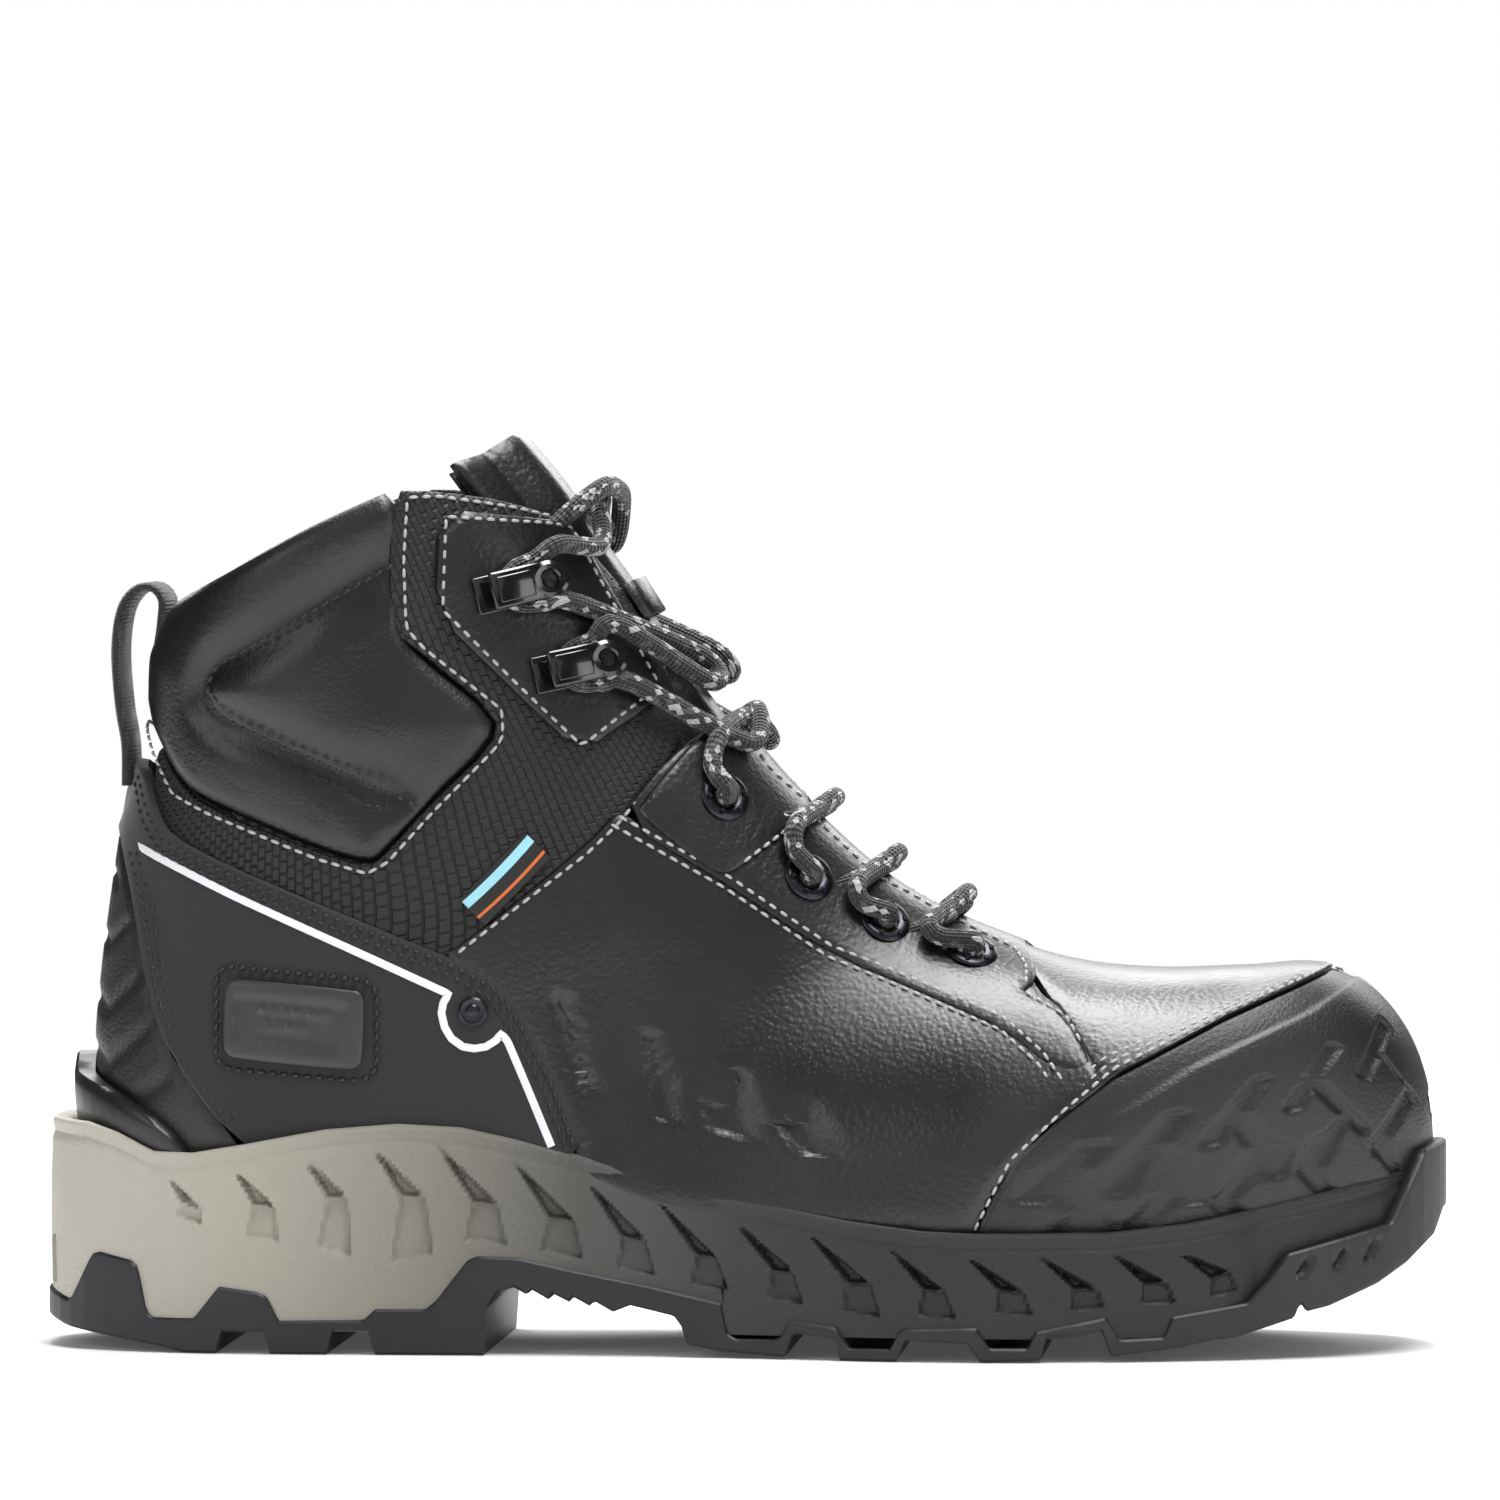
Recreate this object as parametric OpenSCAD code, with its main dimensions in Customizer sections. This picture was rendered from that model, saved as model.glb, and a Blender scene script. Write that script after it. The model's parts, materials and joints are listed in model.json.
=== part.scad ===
// Six-inch lace-up safety work boot, right foot.
// +X is the toe, +Y is the inner (medial) side, +Z is up; the outsole rests on z = 0.
// The upper is built on one foot-shaped surface, the last: a row of slanted rings from the
// collar down to the toe. Every panel is a strip of that surface, a little outside or inside it.

/* [Boot] */
// Length over the outsole
boot_length = 311; // [280:1:350]
// Height to the top of the tongue
boot_height = 203; // [180:1:240]
// Width over the ball of the outsole
boot_width = 112; // [98:1:128]

/* [Upper] */
// Thickness of the leather panels
leather = 1.6; // [1.2:0.1:2.2]
// Gap left between glued or stitched layers
glue_gap = 0.6; // [0.5:0.1:0.9]
// Thickness of the overlays: eyestays, hook panels and heel panels
overlay = 1.5; // [1:0.1:2]
// Thickness of the rubber toe and heel guards
guard = 2; // [1.5:0.1:2.6]
// Thickness of the lining
lining_t = 1.4; // [1:0.1:1.8]
// Thickness of the collar padding, inside the collar leather
collar_pad = 7; // [4:0.5:9]
// Thickness of the tongue
tongue_t = 5; // [3.5:0.5:6.5]
// Half width of the throat between the eyestays
throat_half = 17; // [14:0.5:20]

/* [Safety parts] */
// Wall of the safety toe cap
cap_wall = 2; // [1.6:0.1:2.5]
// Wall of the heel counter
counter_wall = 1.2; // [1:0.1:1.8]

/* [Sole] */
// Height of the outsole's top at the heel
heel_outsole = 9; // [7:0.5:11]
// Depth of the forefoot lugs
lug_depth = 5; // [3:0.5:6]
// Thickness of the footbed
footbed_t = 4; // [3:0.5:5]

/* [Lacing] */
// Outer diameter of an eyelet
eyelet_d = 11.4; // [9:0.2:13]
// Bore of an eyelet
eyelet_bore = 5.6; // [5:0.2:7]
// Diameter of the lace
lace_d = 4.4; // [3.5:0.1:4.8]

/* [Hidden] */

// The last is drawn for the default boot and scaled by the three overall sizes.
scale_x = boot_length / 311;
scale_y = boot_width / 112;
scale_z = boot_height / 203;

// One row a ring: front point x, z; back point x, z; half width lateral, medial;
// where it is widest, from front 0 to back 1; roundness of the front part and of the back part.
RINGS = [
    [-50, 203, -127, 165, 39, 39, 0.55, 0.90, 0.90],
    [-36, 185, -131, 152, 38, 38, 0.55, 0.90, 0.90],
    [-24, 167, -133.5, 137, 36.5, 36.5, 0.55, 0.90, 0.88],
    [-13, 150, -135.5, 124, 36, 36, 0.55, 0.90, 0.86],
    [-3, 137, -137.5, 112, 36, 36, 0.55, 0.90, 0.84],
    [7, 125, -139.5, 98, 36.5, 36, 0.56, 0.90, 0.82],
    [17, 115, -141.5, 82, 37, 36.5, 0.57, 0.90, 0.80],
    [27, 106, -142.5, 64, 38, 37.5, 0.60, 0.90, 0.75],
    [37, 99, -139, 45, 38, 36.5, 0.64, 0.90, 0.66],
    [47, 94, -118, 33, 38, 35.5, 0.68, 0.90, 0.56],
    [57, 90, -75, 30.5, 39, 35.5, 0.70, 0.90, 0.50],
    [67, 86.5, -25, 24.5, 43, 39, 0.70, 0.88, 0.46],
    [79, 84, 22, 19.5, 48.5, 46, 0.68, 0.85, 0.44],
    [94, 83, 62, 18.5, 49, 49.5, 0.66, 0.80, 0.42],
    [110, 83.5, 92, 19, 44, 48, 0.64, 0.76, 0.42],
    [124, 83.5, 112, 21, 37, 43.5, 0.62, 0.72, 0.42],
    [135.5, 79, 127, 24, 30, 38, 0.58, 0.72, 0.45],
    [144, 70, 138, 28, 22.5, 30, 0.54, 0.76, 0.50],
    [149, 58, 145, 32.5, 13.5, 19, 0.52, 0.84, 0.60],
    [150.3, 45, 149, 38, 5, 8, 0.50, 0.90, 0.90]];
LAST_RING = len(RINGS) - 1;

function mix(a, b, t) = a + (b - a) * t;
function clamp(v, lo, hi) = min(hi, max(lo, v));

// A ring between the drawn ones, on a smooth curve through them
function spline(p0, p1, p2, p3, t) =
    p1 + (p2 - p0) * t / 2 + (2 * p0 - 5 * p1 + 4 * p2 - p3) * t * t / 2
    + (3 * p1 - p0 - 3 * p2 + p3) * t * t * t / 2;
function ring(u) =
    let (k = clamp(floor(u), 0, LAST_RING - 1))
    spline(RINGS[max(k - 1, 0)], RINGS[k], RINGS[k + 1], RINGS[min(k + 2, LAST_RING)], u - k);

// A point of the last: ring u, and angle a from 0 at the front through 90 at the side to 180 at
// the back or under the foot. Negative angles are the lateral side.
function way(r, a) = abs(a) <= 90
    ? r[6] * (1 - pow(abs(cos(a)), r[7]))
    : r[6] + (1 - r[6]) * pow(abs(cos(a)), r[8]);
function half_width(r, a) =
    (a < 0 ? -r[4] : r[5]) * pow(abs(sin(a)), abs(a) <= 90 ? r[7] : r[8]);
function last_point(u, a) =
    let (r = ring(u), w = way(r, a))
    [scale_x * mix(r[0], r[2], w), scale_y * half_width(r, a), scale_z * mix(r[1], r[3], w)];

// The same point moved outwards by off
function wrap(a) = a > 180 ? a - 360 : a < -180 ? a + 360 : a;
function last_normal(u, a) =
    let (du = last_point(min(u + 0.15, LAST_RING), a) - last_point(max(u - 0.15, 0), a),
        da = last_point(u, wrap(a + 4)) - last_point(u, wrap(a - 4)), n = cross(du, da))
    n / max(norm(n), 0.001);
function skin(u, a, off) = last_point(u, wrap(a)) + last_normal(u, wrap(a)) * off;

// Where a point of the side view lies on the last: [ring, angle] on the side that sign gives
function beyond(u, p) =
    let (r = ring(u), f = [r[0], r[1]], b = [r[2], r[3]])
    cross([b[0] - f[0], b[1] - f[1]], [p[0] - f[0], p[1] - f[1]]);
function ring_at(p, lo, hi, steps = 14) =
    steps == 0 ? (lo + hi) / 2
    : let (m = (lo + hi) / 2)
      beyond(m, p) > 0 ? ring_at(p, m, hi, steps - 1) : ring_at(p, lo, m, steps - 1);
function angle_of(r, w) = w <= r[6]
    ? acos(pow(clamp(1 - w / r[6], 0, 1), 1 / r[7]))
    : 180 - acos(pow(clamp((w - r[6]) / (1 - r[6]), 0, 1), 1 / r[8]));
function locate(p, side) =
    let (u = ring_at(p, 0, LAST_RING), r = ring(u), f = [r[0], r[1]], d = [r[2] - r[0], r[3] - r[1]],
        w = clamp(((p[0] - f[0]) * d[0] + (p[1] - f[1]) * d[1]) / (d * d), 0, 1))
    [u, side * angle_of(r, w)];
function place(x, z, side = 1) = locate([x, z], side);

// A closed sheet between two grids of points of the same size
function flat(rows) = [for (row = rows) for (p = row) p];
module sheet(top, bottom) {
    n = len(top);
    m = len(top[0]);
    under = n * m;
    edge = concat([for (j = [0 : m - 1]) j], [for (i = [1 : n - 1]) i * m + m - 1],
        [for (j = [m - 2 : -1 : 0]) (n - 1) * m + j], [for (i = [n - 2 : -1 : 1]) i * m]);
    faces = concat(
        [for (i = [0 : n - 2]) for (j = [0 : m - 2]) [i * m + j, i * m + j + 1, (i + 1) * m + j]],
        [for (i = [0 : n - 2]) for (j = [0 : m - 2])
            [i * m + j + 1, (i + 1) * m + j + 1, (i + 1) * m + j]],
        [for (i = [0 : n - 2]) for (j = [0 : m - 2])
            [under + i * m + j, under + (i + 1) * m + j, under + i * m + j + 1]],
        [for (i = [0 : n - 2]) for (j = [0 : m - 2])
            [under + i * m + j + 1, under + (i + 1) * m + j, under + (i + 1) * m + j + 1]],
        [for (k = [0 : len(edge) - 1]) [edge[k], under + edge[k], edge[(k + 1) % len(edge)]]],
        [for (k = [0 : len(edge) - 1])
            [edge[(k + 1) % len(edge)], under + edge[k], under + edge[(k + 1) % len(edge)]]]);
    polyhedron(concat(flat(top), flat(bottom)), faces);
}

// A panel of the last over a grid of [ring, angle] places, from off_in to off_out
module panel(grid, off_in, off_out) {
    sheet([for (row = grid) [for (q = row) skin(q[0], q[1], off_out)]],
        [for (row = grid) [for (q = row) skin(q[0], q[1], off_in)]]);
}

// A grid between two side-view outlines with the same number of points, listed from the back
// to the front: upper holds the top edge and lower the bottom edge
BACK_SEAM = 179.2;
function strip(upper, lower, across, side) =
    [for (i = [0 : len(upper) - 1]) [for (j = [0 : across])
        let (q = locate(mix(upper[i], lower[i], (side < 0 ? across - j : j) / across), side))
        [q[0], clamp(q[1], -BACK_SEAM, BACK_SEAM)]]];

// The same outline with a point halfway along each stretch, for surfaces that bend sharply
function finer(line) = [for (k = [0 : 2 * len(line) - 2])
    k % 2 == 0 ? line[k / 2] : (line[(k - 1) / 2] + line[(k + 1) / 2]) / 2];

// A grid that goes round the toe: seam is a side-view outline from the top centre down to the
// sole, and the grid runs from there forwards to ring far
function round_toe(seam, far, steps, spread) =
    let (half = [for (p = seam) locate(p, 1)], n = len(half) - 1,
        full = concat([for (k = [n : -1 : 1]) [half[k][0], -half[k][1]]], [[half[0][0], 0]],
            [for (k = [1 : n]) half[k]]))
    [for (i = [0 : steps]) [for (q = full)
        [mix(q[0], far, i / steps), mix(q[1], q[1] * spread, i / steps)]]];

// A grid that goes round the heel between two side-view outlines listed from the front back
function round_heel(upper, lower, steps) =
    let (n = len(upper) - 1,
        rows = [for (i = [0 : steps]) [for (k = [0 : n])
            locate(mix(upper[k], lower[k], i / steps), 1)]])
    [for (row = rows) concat([for (k = [0 : n - 1]) row[k]], [[row[n][0], 180]],
        [for (k = [n - 1 : -1 : 0]) [row[k][0], 360 - row[k][1]]])];

// A solid through sections with the same number of points, closed by a flat fan at each end
module loft(sections) {
    n = len(sections);
    m = len(sections[0]);
    faces = concat(
        [for (i = [0 : n - 2]) for (j = [0 : m - 1]) [i * m + j, i * m + (j + 1) % m, (i + 1) * m + j]],
        [for (i = [0 : n - 2]) for (j = [0 : m - 1])
            [i * m + (j + 1) % m, (i + 1) * m + (j + 1) % m, (i + 1) * m + j]],
        [for (j = [1 : m - 2]) [0, j + 1, j]],
        [for (j = [1 : m - 2]) [(n - 1) * m, (n - 1) * m + j, (n - 1) * m + j + 1]]);
    polyhedron(flat(sections), faces);
}

// ---- Layers, measured outwards from the outer face of the main leather ----
over_in = glue_gap;
over_out = over_in + overlay;
guard_out = over_in + guard;
stiffener_gap = 0.5;
cap_out = -leather - stiffener_gap;
lining_out = cap_out - cap_wall - stiffener_gap;
lining_in = lining_out - lining_t;
board_out = -0.8;
board_t = 2;

// ---- Plan outline of the sole, side view of its faces: x, value ----
PLAN_LATERAL = [[-155.3, 7], [-154, 14], [-150, 23], [-143, 30], [-130, 37], [-112, 41.5], [-90, 42],
    [-60, 42], [-30, 42], [0, 45.5], [25, 52], [45, 56], [70, 55], [95, 50], [115, 44], [130, 37.5],
    [142, 29], [150, 19], [154, 10], [155.7, 3]];
PLAN_MEDIAL = [[-155.3, 7], [-154, 14], [-150, 22], [-143, 29.5], [-130, 36], [-112, 40], [-90, 39.5],
    [-60, 39], [-30, 39], [0, 42.5], [25, 48.5], [50, 54.5], [65, 56], [85, 55], [105, 51.5], [120, 47.5],
    [132, 42], [142, 35], [150, 25], [154, 15], [155.7, 7]];
RIM = [[-155, 50.5], [-145, 50], [-138, 48], [-129, 44], [-120, 43.8], [-107, 46], [-90, 49.2],
    [-74, 50.5], [-60, 49.8], [-47, 47], [-33, 43.6], [-9, 36.3], [8, 33.4], [25, 30.3], [42, 28.3],
    [54, 27.8], [83, 28], [100, 29.8], [116, 32.7], [133, 36.3], [147, 39.6], [156, 42]];
SOLE_FLOOR = [[-155, 30], [-142, 52], [-139, 44.5], [-130, 38.5], [-118, 32.5], [-75, 30], [-25, 24],
    [22, 19], [62, 18], [92, 18.5], [112, 20.5], [127, 23.5], [138, 27.5], [145, 32], [149, 37.5], [150.5, 45],
    [156, 60]];
function plan(x, side) = scale_y * lookup(x, side < 0 ? PLAN_LATERAL : PLAN_MEDIAL);
function rim(x) = lookup(x, RIM);

// Underside of the outsole: heel, breast, arch and the forefoot with its bars, front to back
web = 3.5;
function rocker(x) = lookup(x, [[-156, 8], [-152, 5.5], [-149, 4.3], [-140, 2.2], [-130, 0.6], [-122, 0],
    [52, 0], [68, 0.3], [83, 1.3], [97, 3], [106, 4.6], [123, 9], [131, 11.6], [141.5, 16], [148, 20.5],
    [153.3, 26], [155.7, 32]]);
// Forefoot bars: from x, to x
BARS = [[-10, 12], [24, 37], [52.5, 68], [83, 97], [110, 156]];
heel_breast = -54.5;
function outsole_top(x) = x < -60 ? heel_outsole + lookup(x, [[-156, 4], [-150, 1], [-60, 0]])
    : lookup(x, [[-60, heel_outsole], [-56, heel_outsole + 12], [-47, 21.4], [-35, 18.7], [-18, 15.4],
        [-2, 12], [13, 9.5], [23, 8.7], [54, 8.7], [82, 10.5], [113, 14.5], [141, 21], [148, 26],
        [153, 33], [156, 41]]);
function outsole_bottom(x) = lookup(x, [[heel_breast, rocker(x)], [heel_breast + 0.6, 14], [-48, 15.4],
    [-26, 9.3], [-11, 7.3], [-10.9, outsole_top(x) - web]]);
function tread_x() = concat([-155.3, -154, -150, -143, -130, -122, -112, -90, -75, -60, heel_breast,
    heel_breast + 0.6, -47, -35, -26, -18, -11],
    [for (b = BARS) each [b[0] - 0.4, b[0], b[1], b[1] + 0.4]], [45, 75, 90, 120, 131, 137, 142, 148,
    151, 153.3, 154.5, 155.7]);
function on_bar(x) = len([for (b = BARS) if (x >= b[0] && x <= b[1]) 1]) > 0;
function sole_under(x) = x <= heel_breast || on_bar(x) ? rocker(x)
    : max(outsole_bottom(x), rocker(x) + lug_depth * 0.2);
function sorted(v) = len(v) < 2 ? v : let (p = v[floor(len(v) / 2)])
    concat(sorted([for (x = v) if (x < p) x]), [p], sorted([for (x = v) if (x > p) x]));

function slab_section(x) =
    let (z0 = scale_z * sole_under(x), z1 = scale_z * max(outsole_top(x), sole_under(x) + 3),
        l = plan(x, -1), m = plan(x, 1), sx = x * scale_x, c = min(1.5, l / 3))
    [[sx, -l + c, z0], [sx, -l, z0 + c], [sx, -l, z1], [sx, m, z1], [sx, m, z0 + c], [sx, m - c, z0]];

// The toe bumper stands on the slab and goes round the toe
bumper_t = 2.4;
BUMPER_X = [114, 118, 122, 127, 132, 137, 142, 146, 150, 153, 155];
function bumper_top(x) = lookup(x, [[113, 15.5], [117.5, 18], [122, 23], [130, 25], [144, 29],
    [148, 36], [151.5, 43], [156, 47]]);
function bumper_wall(inset, lift) = [for (side = [-1, 1])
    for (x = side < 0 ? BUMPER_X : [for (k = [len(BUMPER_X) - 1 : -1 : 0]) BUMPER_X[k]])
        let (y = plan(x, side), pull = inset / norm([x - 108, y]))
        [for (f = [0 : 3]) [scale_x * (x - (x - 108) * pull), side * (y - y * pull),
            scale_z * mix(outsole_top(x) - 1.5 - lift, bumper_top(x), f / 3)]]];
module outsole() {
    color([0.16, 0.16, 0.18]) {
        loft([for (x = sorted(tread_x())) slab_section(x)]);
        sheet(bumper_wall(0, 0), bumper_wall(bumper_t, 0));
    }
}

// The shank is a spring plate sunk in the midsole; the same outline, larger, makes its pocket
shank_l = 96;
shank_w = 20;
shank_t = 1.6;
module shank_plate(clear, height) {
    translate([-scale_x * 38, 0, scale_z * 24.2 - shank_t / 2 - clear]) rotate([0, 6, 0])
        linear_extrude(height) offset(4)
            square([shank_l - 8 + 2 * clear, shank_w - 8 + 2 * clear], center = true);
}

// The midsole is a cup: its inner face follows the last
cup_gap = 0.9;
function cup_y(x, z, side) =
    let (q = place(x, z, side), p = skin(q[0], q[1], cup_gap + 0.2)) side * max(abs(p[1]), 0.6);
function midsole_section(x) =
    let (inset = x > 108 ? bumper_t + 1.4 : 0.8, z0 = outsole_top(x) + 0.5,
        top = max(rim(x), z0 + 4), floor_z = min(max(lookup(x, SOLE_FLOOR) - cup_gap, z0 + 1.5), top - 0.6),
        l = plan(x, -1) - inset, m = plan(x, 1) - inset, sx = x * scale_x,
        levels = [for (f = [0, 0.35, 0.65, 0.85, 0.96]) mix(top, floor_z, f)])
    concat([[sx, -l, scale_z * z0], [sx, -l, scale_z * top]],
        [for (z = levels) [sx, max(-l + 1.2, cup_y(x, z, -1)), scale_z * z]],
        [[sx, 0, scale_z * floor_z]],
        [for (k = [4 : -1 : 0]) [sx, min(m - 1.2, cup_y(x, levels[k], 1)), scale_z * levels[k]]],
        [[sx, m, scale_z * top], [sx, m, scale_z * z0]]);
MIDSOLE_X = [-151, -148, -144, -141, -138, -133, -127, -120, -110, -98, -86, -74, -61, -57, -54, -47, -35, -20,
    -5, 10, 25, 40, 55, 68, 80, 92, 104, 108, 109, 116, 123, 130, 136, 141, 145, 148];
module midsole() {
    color([0.45, 0.44, 0.4]) difference() {
        loft([for (x = MIDSOLE_X) midsole_section(x)]);
        shank_plate(0.4, 30);
    }
}

// Moulded stabilizer round the top of the heel
module heel_stabilizer() {
    grid = round_heel([[-121, 49], [-131, 53], [-140, 59], [-146, 62.5]],
        [[-121, 46.5], [-131, 48.5], [-140, 52.6], [-146, 54.2]], 3);
    color([0.18, 0.18, 0.2]) panel(grid, guard_out + 1.1, guard_out + 5);
}

// Small moulded plate on the back of the heel
module heel_patch() {
    color([0.6, 0.59, 0.55]) translate([-scale_x * 151 - 2.6, 0, scale_z * 19])
        rotate([90, 0, 90]) linear_extrude(2) offset(3) square([26, 5], center = true);
}

// ---- Inside the boot ----
// A sheet of the last's underside: rows of rings, out to the given angle either side
module underfoot(u0, u1, steps, edge, off_in, off_out) {
    rows = [for (i = [0 : steps]) let (u = mix(u0, u1, i / steps), e = lookup(u, edge))
        [for (j = [0 : 8]) [u, mix(e, 360 - e, j / 8)]]];
    panel(rows, off_in, off_out);
}
BOARD_EDGE = [[9, 150], [9.6, 141], [11, 137], [17, 137], [18.3, 150]];
module insole_board() {
    color([0.55, 0.42, 0.28]) underfoot(8.95, 18.3, 20, BOARD_EDGE, board_out - board_t, board_out);
}
footbed_out = board_out - board_t - 0.6;
FOOTBED_EDGE = [[9, 159], [9.6, 147], [11, 143], [17, 145], [17.6, 156]];
module footbed() {
    color([0.2, 0.2, 0.22])
        underfoot(9.1, 17.5, 18, FOOTBED_EDGE, footbed_out - footbed_t, footbed_out);
}
module shank() {
    color([0.75, 0.75, 0.72]) shank_plate(0, shank_t);
}

TOE_SEAM = [[78, 92], [82, 74], [86, 58], [88, 44], [90, 32]];
module toe_cap() {
    color([0.7, 0.7, 0.68]) panel(round_toe(finer([for (p = TOE_SEAM) p + [24, 0]]), 18.4, 10, 1),
        cap_out - cap_wall, cap_out);
}
VAMP_SEAM = [[66, 92], [71, 80], [76.2, 67], [72.6, 55], [68.5, 41], [64, 26]];
module vamp() {
    color([0.14, 0.14, 0.15]) panel(round_toe(finer(VAMP_SEAM), 18.8, 12, 1), -leather, 0);
}
// The toe lining hangs a little inside the cap
toe_slack = 1.3;
module vamp_lining() {
    color([0.25, 0.25, 0.26]) panel(round_toe([for (p = VAMP_SEAM) p + [2, 0]], 18.3, 11, 1),
        lining_in - toe_slack, lining_out - toe_slack);
}
GUARD_EDGE = [[131, 84.2], [120, 79], [108, 73], [96, 67.5], [85, 62], [73, 54], [62.5, 44], [57, 34]];
module toe_guard() {
    edge = [for (p = finer(GUARD_EDGE)) locate(p, 1)];
    hem = [for (x = finer([153, 149.5, 146.5, 138, 124, 104, 82, 60]))
        locate([x, max(rim(x), bumper_top(x)) + 1.5], 1)];
    n = len(edge) - 1;
    rows = [for (i = [0 : 8])
        concat([for (k = [n : -1 : 1]) let (q = mix(edge[k], hem[k], i / 8)) [q[0], -q[1]]],
            [[mix(edge[0][0], hem[0][0], i / 8), 0]],
            [for (k = [1 : n]) mix(edge[k], hem[k], i / 8)])];
    color([0.27, 0.27, 0.29]) panel(rows, over_in + 0.3, guard_out);
}

// ---- Side panels, drawn once as side-view outlines and used on both sides ----
QUARTER_TOP = [[-60, 86], [-44, 101], [-28, 116], [-3, 110], [20, 94], [44, 83.5], [58, 78], [68, 73], [75, 66]];
QUARTER_LOW = [[-30, 36], [-14, 32], [4, 29], [20, 26.5], [34, 25], [45, 24], [52, 24], [57.5, 24.5], [62.5, 25]];
module quarter(side) {
    color([0.15, 0.15, 0.16]) panel(strip(finer(QUARTER_TOP), finer(QUARTER_LOW), 7, side), -leather, 0);
}
HEEL_TOP = [[-146, 130], [-138, 127.5], [-134.5, 124], [-129, 116], [-113, 107], [-92, 98.5], [-72, 90],
    [-61.5, 85]];
HEEL_LOW = [[-146, 40], [-133, 40.5], [-129.5, 39.3], [-123, 38.2], [-104, 38], [-80, 38.5], [-55, 38],
    [-32, 36]];
module heel_panel(side) {
    color([0.2, 0.2, 0.21]) panel(strip(finer(HEEL_TOP), finer(HEEL_LOW), 6, side), -leather, 0);
}
ANKLE_TOP = [[-146, 141], [-131, 136.5], [-127, 128.5], [-114, 118.5], [-97, 111.5], [-82, 106.5], [-66, 120],
    [-53.5, 134], [-53.5, 141.5], [-63, 151.5], [-73.5, 160], [-73.5, 169], [-73, 180], [-73, 188]];
ANKLE_LOW = [[-146, 131.5], [-133, 125.5], [-129.5, 119], [-113, 108.5], [-92, 100], [-72, 91.5], [-62, 87.5],
    [-45, 102.5], [-29, 117.5], [-22, 124], [-17, 134], [-26, 152], [-37, 170], [-45, 184]];
module ankle_panel(side) {
    color([0.19, 0.19, 0.19]) panel(strip(ANKLE_TOP, ANKLE_LOW, 5, side), -leather, 0);
}
// The collar is leather outside and thick foam inside, so it is one padded piece
COLLAR_TOP = [[-146, 156.5], [-119, 168.5], [-107, 174.5], [-92, 181.3], [-82, 186], [-75, 189],
    [-75, 178], [-75, 168], [-74.5, 159.5], [-65, 151], [-55, 141]];
COLLAR_LOW = [[-146, 142.5], [-131, 138], [-125, 129.5], [-113.5, 120], [-104, 115.5], [-97.5, 113],
    [-89, 110.5], [-82.5, 108.5], [-75, 114.8], [-66, 122.8], [-55, 134.5]];
module collar(side) {
    color([0.13, 0.13, 0.14]) panel(strip(COLLAR_TOP, COLLAR_LOW, 6, side), -collar_pad, 0.6);
}
HOOK_TOP = [[-66, 187], [-55, 187], [-45, 183.5], [-36, 172], [-27, 158], [-20, 147]];
HOOK_LOW = [[-67, 163], [-60, 156], [-51, 148], [-43, 140], [-36, 133], [-27, 137]];
module hook_panel(side) {
    color([0.13, 0.13, 0.14]) panel(strip(HOOK_TOP, HOOK_LOW, 4, side), over_in, over_out);
}
// Eyestay: from the throat edge back to its stitched edge
EYESTAY_EDGE = [[-29, 114.5], [-16, 110], [-3, 103.5], [8, 96], [20, 88], [32, 83], [45, 78], [58, 73],
    [66, 69]];
function throat_angle(u) = let (r = ring(u)) asin(pow(throat_half / scale_y / r[4], 1 / r[7]));
EYESTAY_RINGS = [4.1, 4.9, 5.7, 6.6, 7.5, 8.3, 9.2, 10.1, 10.9];
function eyestay_grid(side) = let (edge = finer(EYESTAY_EDGE), rows = finer(EYESTAY_RINGS))
    [for (i = [0 : len(edge) - 1])
    let (q = locate(edge[i], 1), u = rows[i], t = throat_angle(u))
    [for (j = [0 : 5]) let (f = (side < 0 ? 5 - j : j) / 5) [mix(u, q[0], f), side * mix(t, q[1], f)]]];

// Eyelets stand at these places along the eyestay, given in the side view
EYELET_AT = [[-4, 121.3], [14.7, 103.7], [31.6, 93.7], [51, 86.5]];
barrel_d = eyelet_bore + 1.6;
module on_skin(q, off) {
    n = last_normal(q[0], q[1]);
    translate(skin(q[0], q[1], off)) rotate([0, acos(n[2]), atan2(n[1], n[0])]) children();
}
module eyestay(side) {
    color([0.14, 0.14, 0.15]) difference() {
        panel(eyestay_grid(side), over_in + 0.2, over_out);
        for (p = EYELET_AT) on_skin(locate(p, side), 0) cylinder(h = 12, d = barrel_d + 0.6, center = true);
    }
}
module eyelet() {
    color([0.35, 0.35, 0.37]) rotate_extrude($fn = 48) polygon([[eyelet_bore / 2, -overlay - 0.6],
        [barrel_d / 2, -overlay - 0.6], [barrel_d / 2, 0.5], [eyelet_d / 2, 0.5], [eyelet_d / 2, 1],
        [eyelet_d / 2 - 0.8, 1.6], [eyelet_bore / 2, 1.6]]);
}
module eyelets(side) {
    for (p = EYELET_AT) on_skin(locate(p, side), over_out) eyelet();
}

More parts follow.
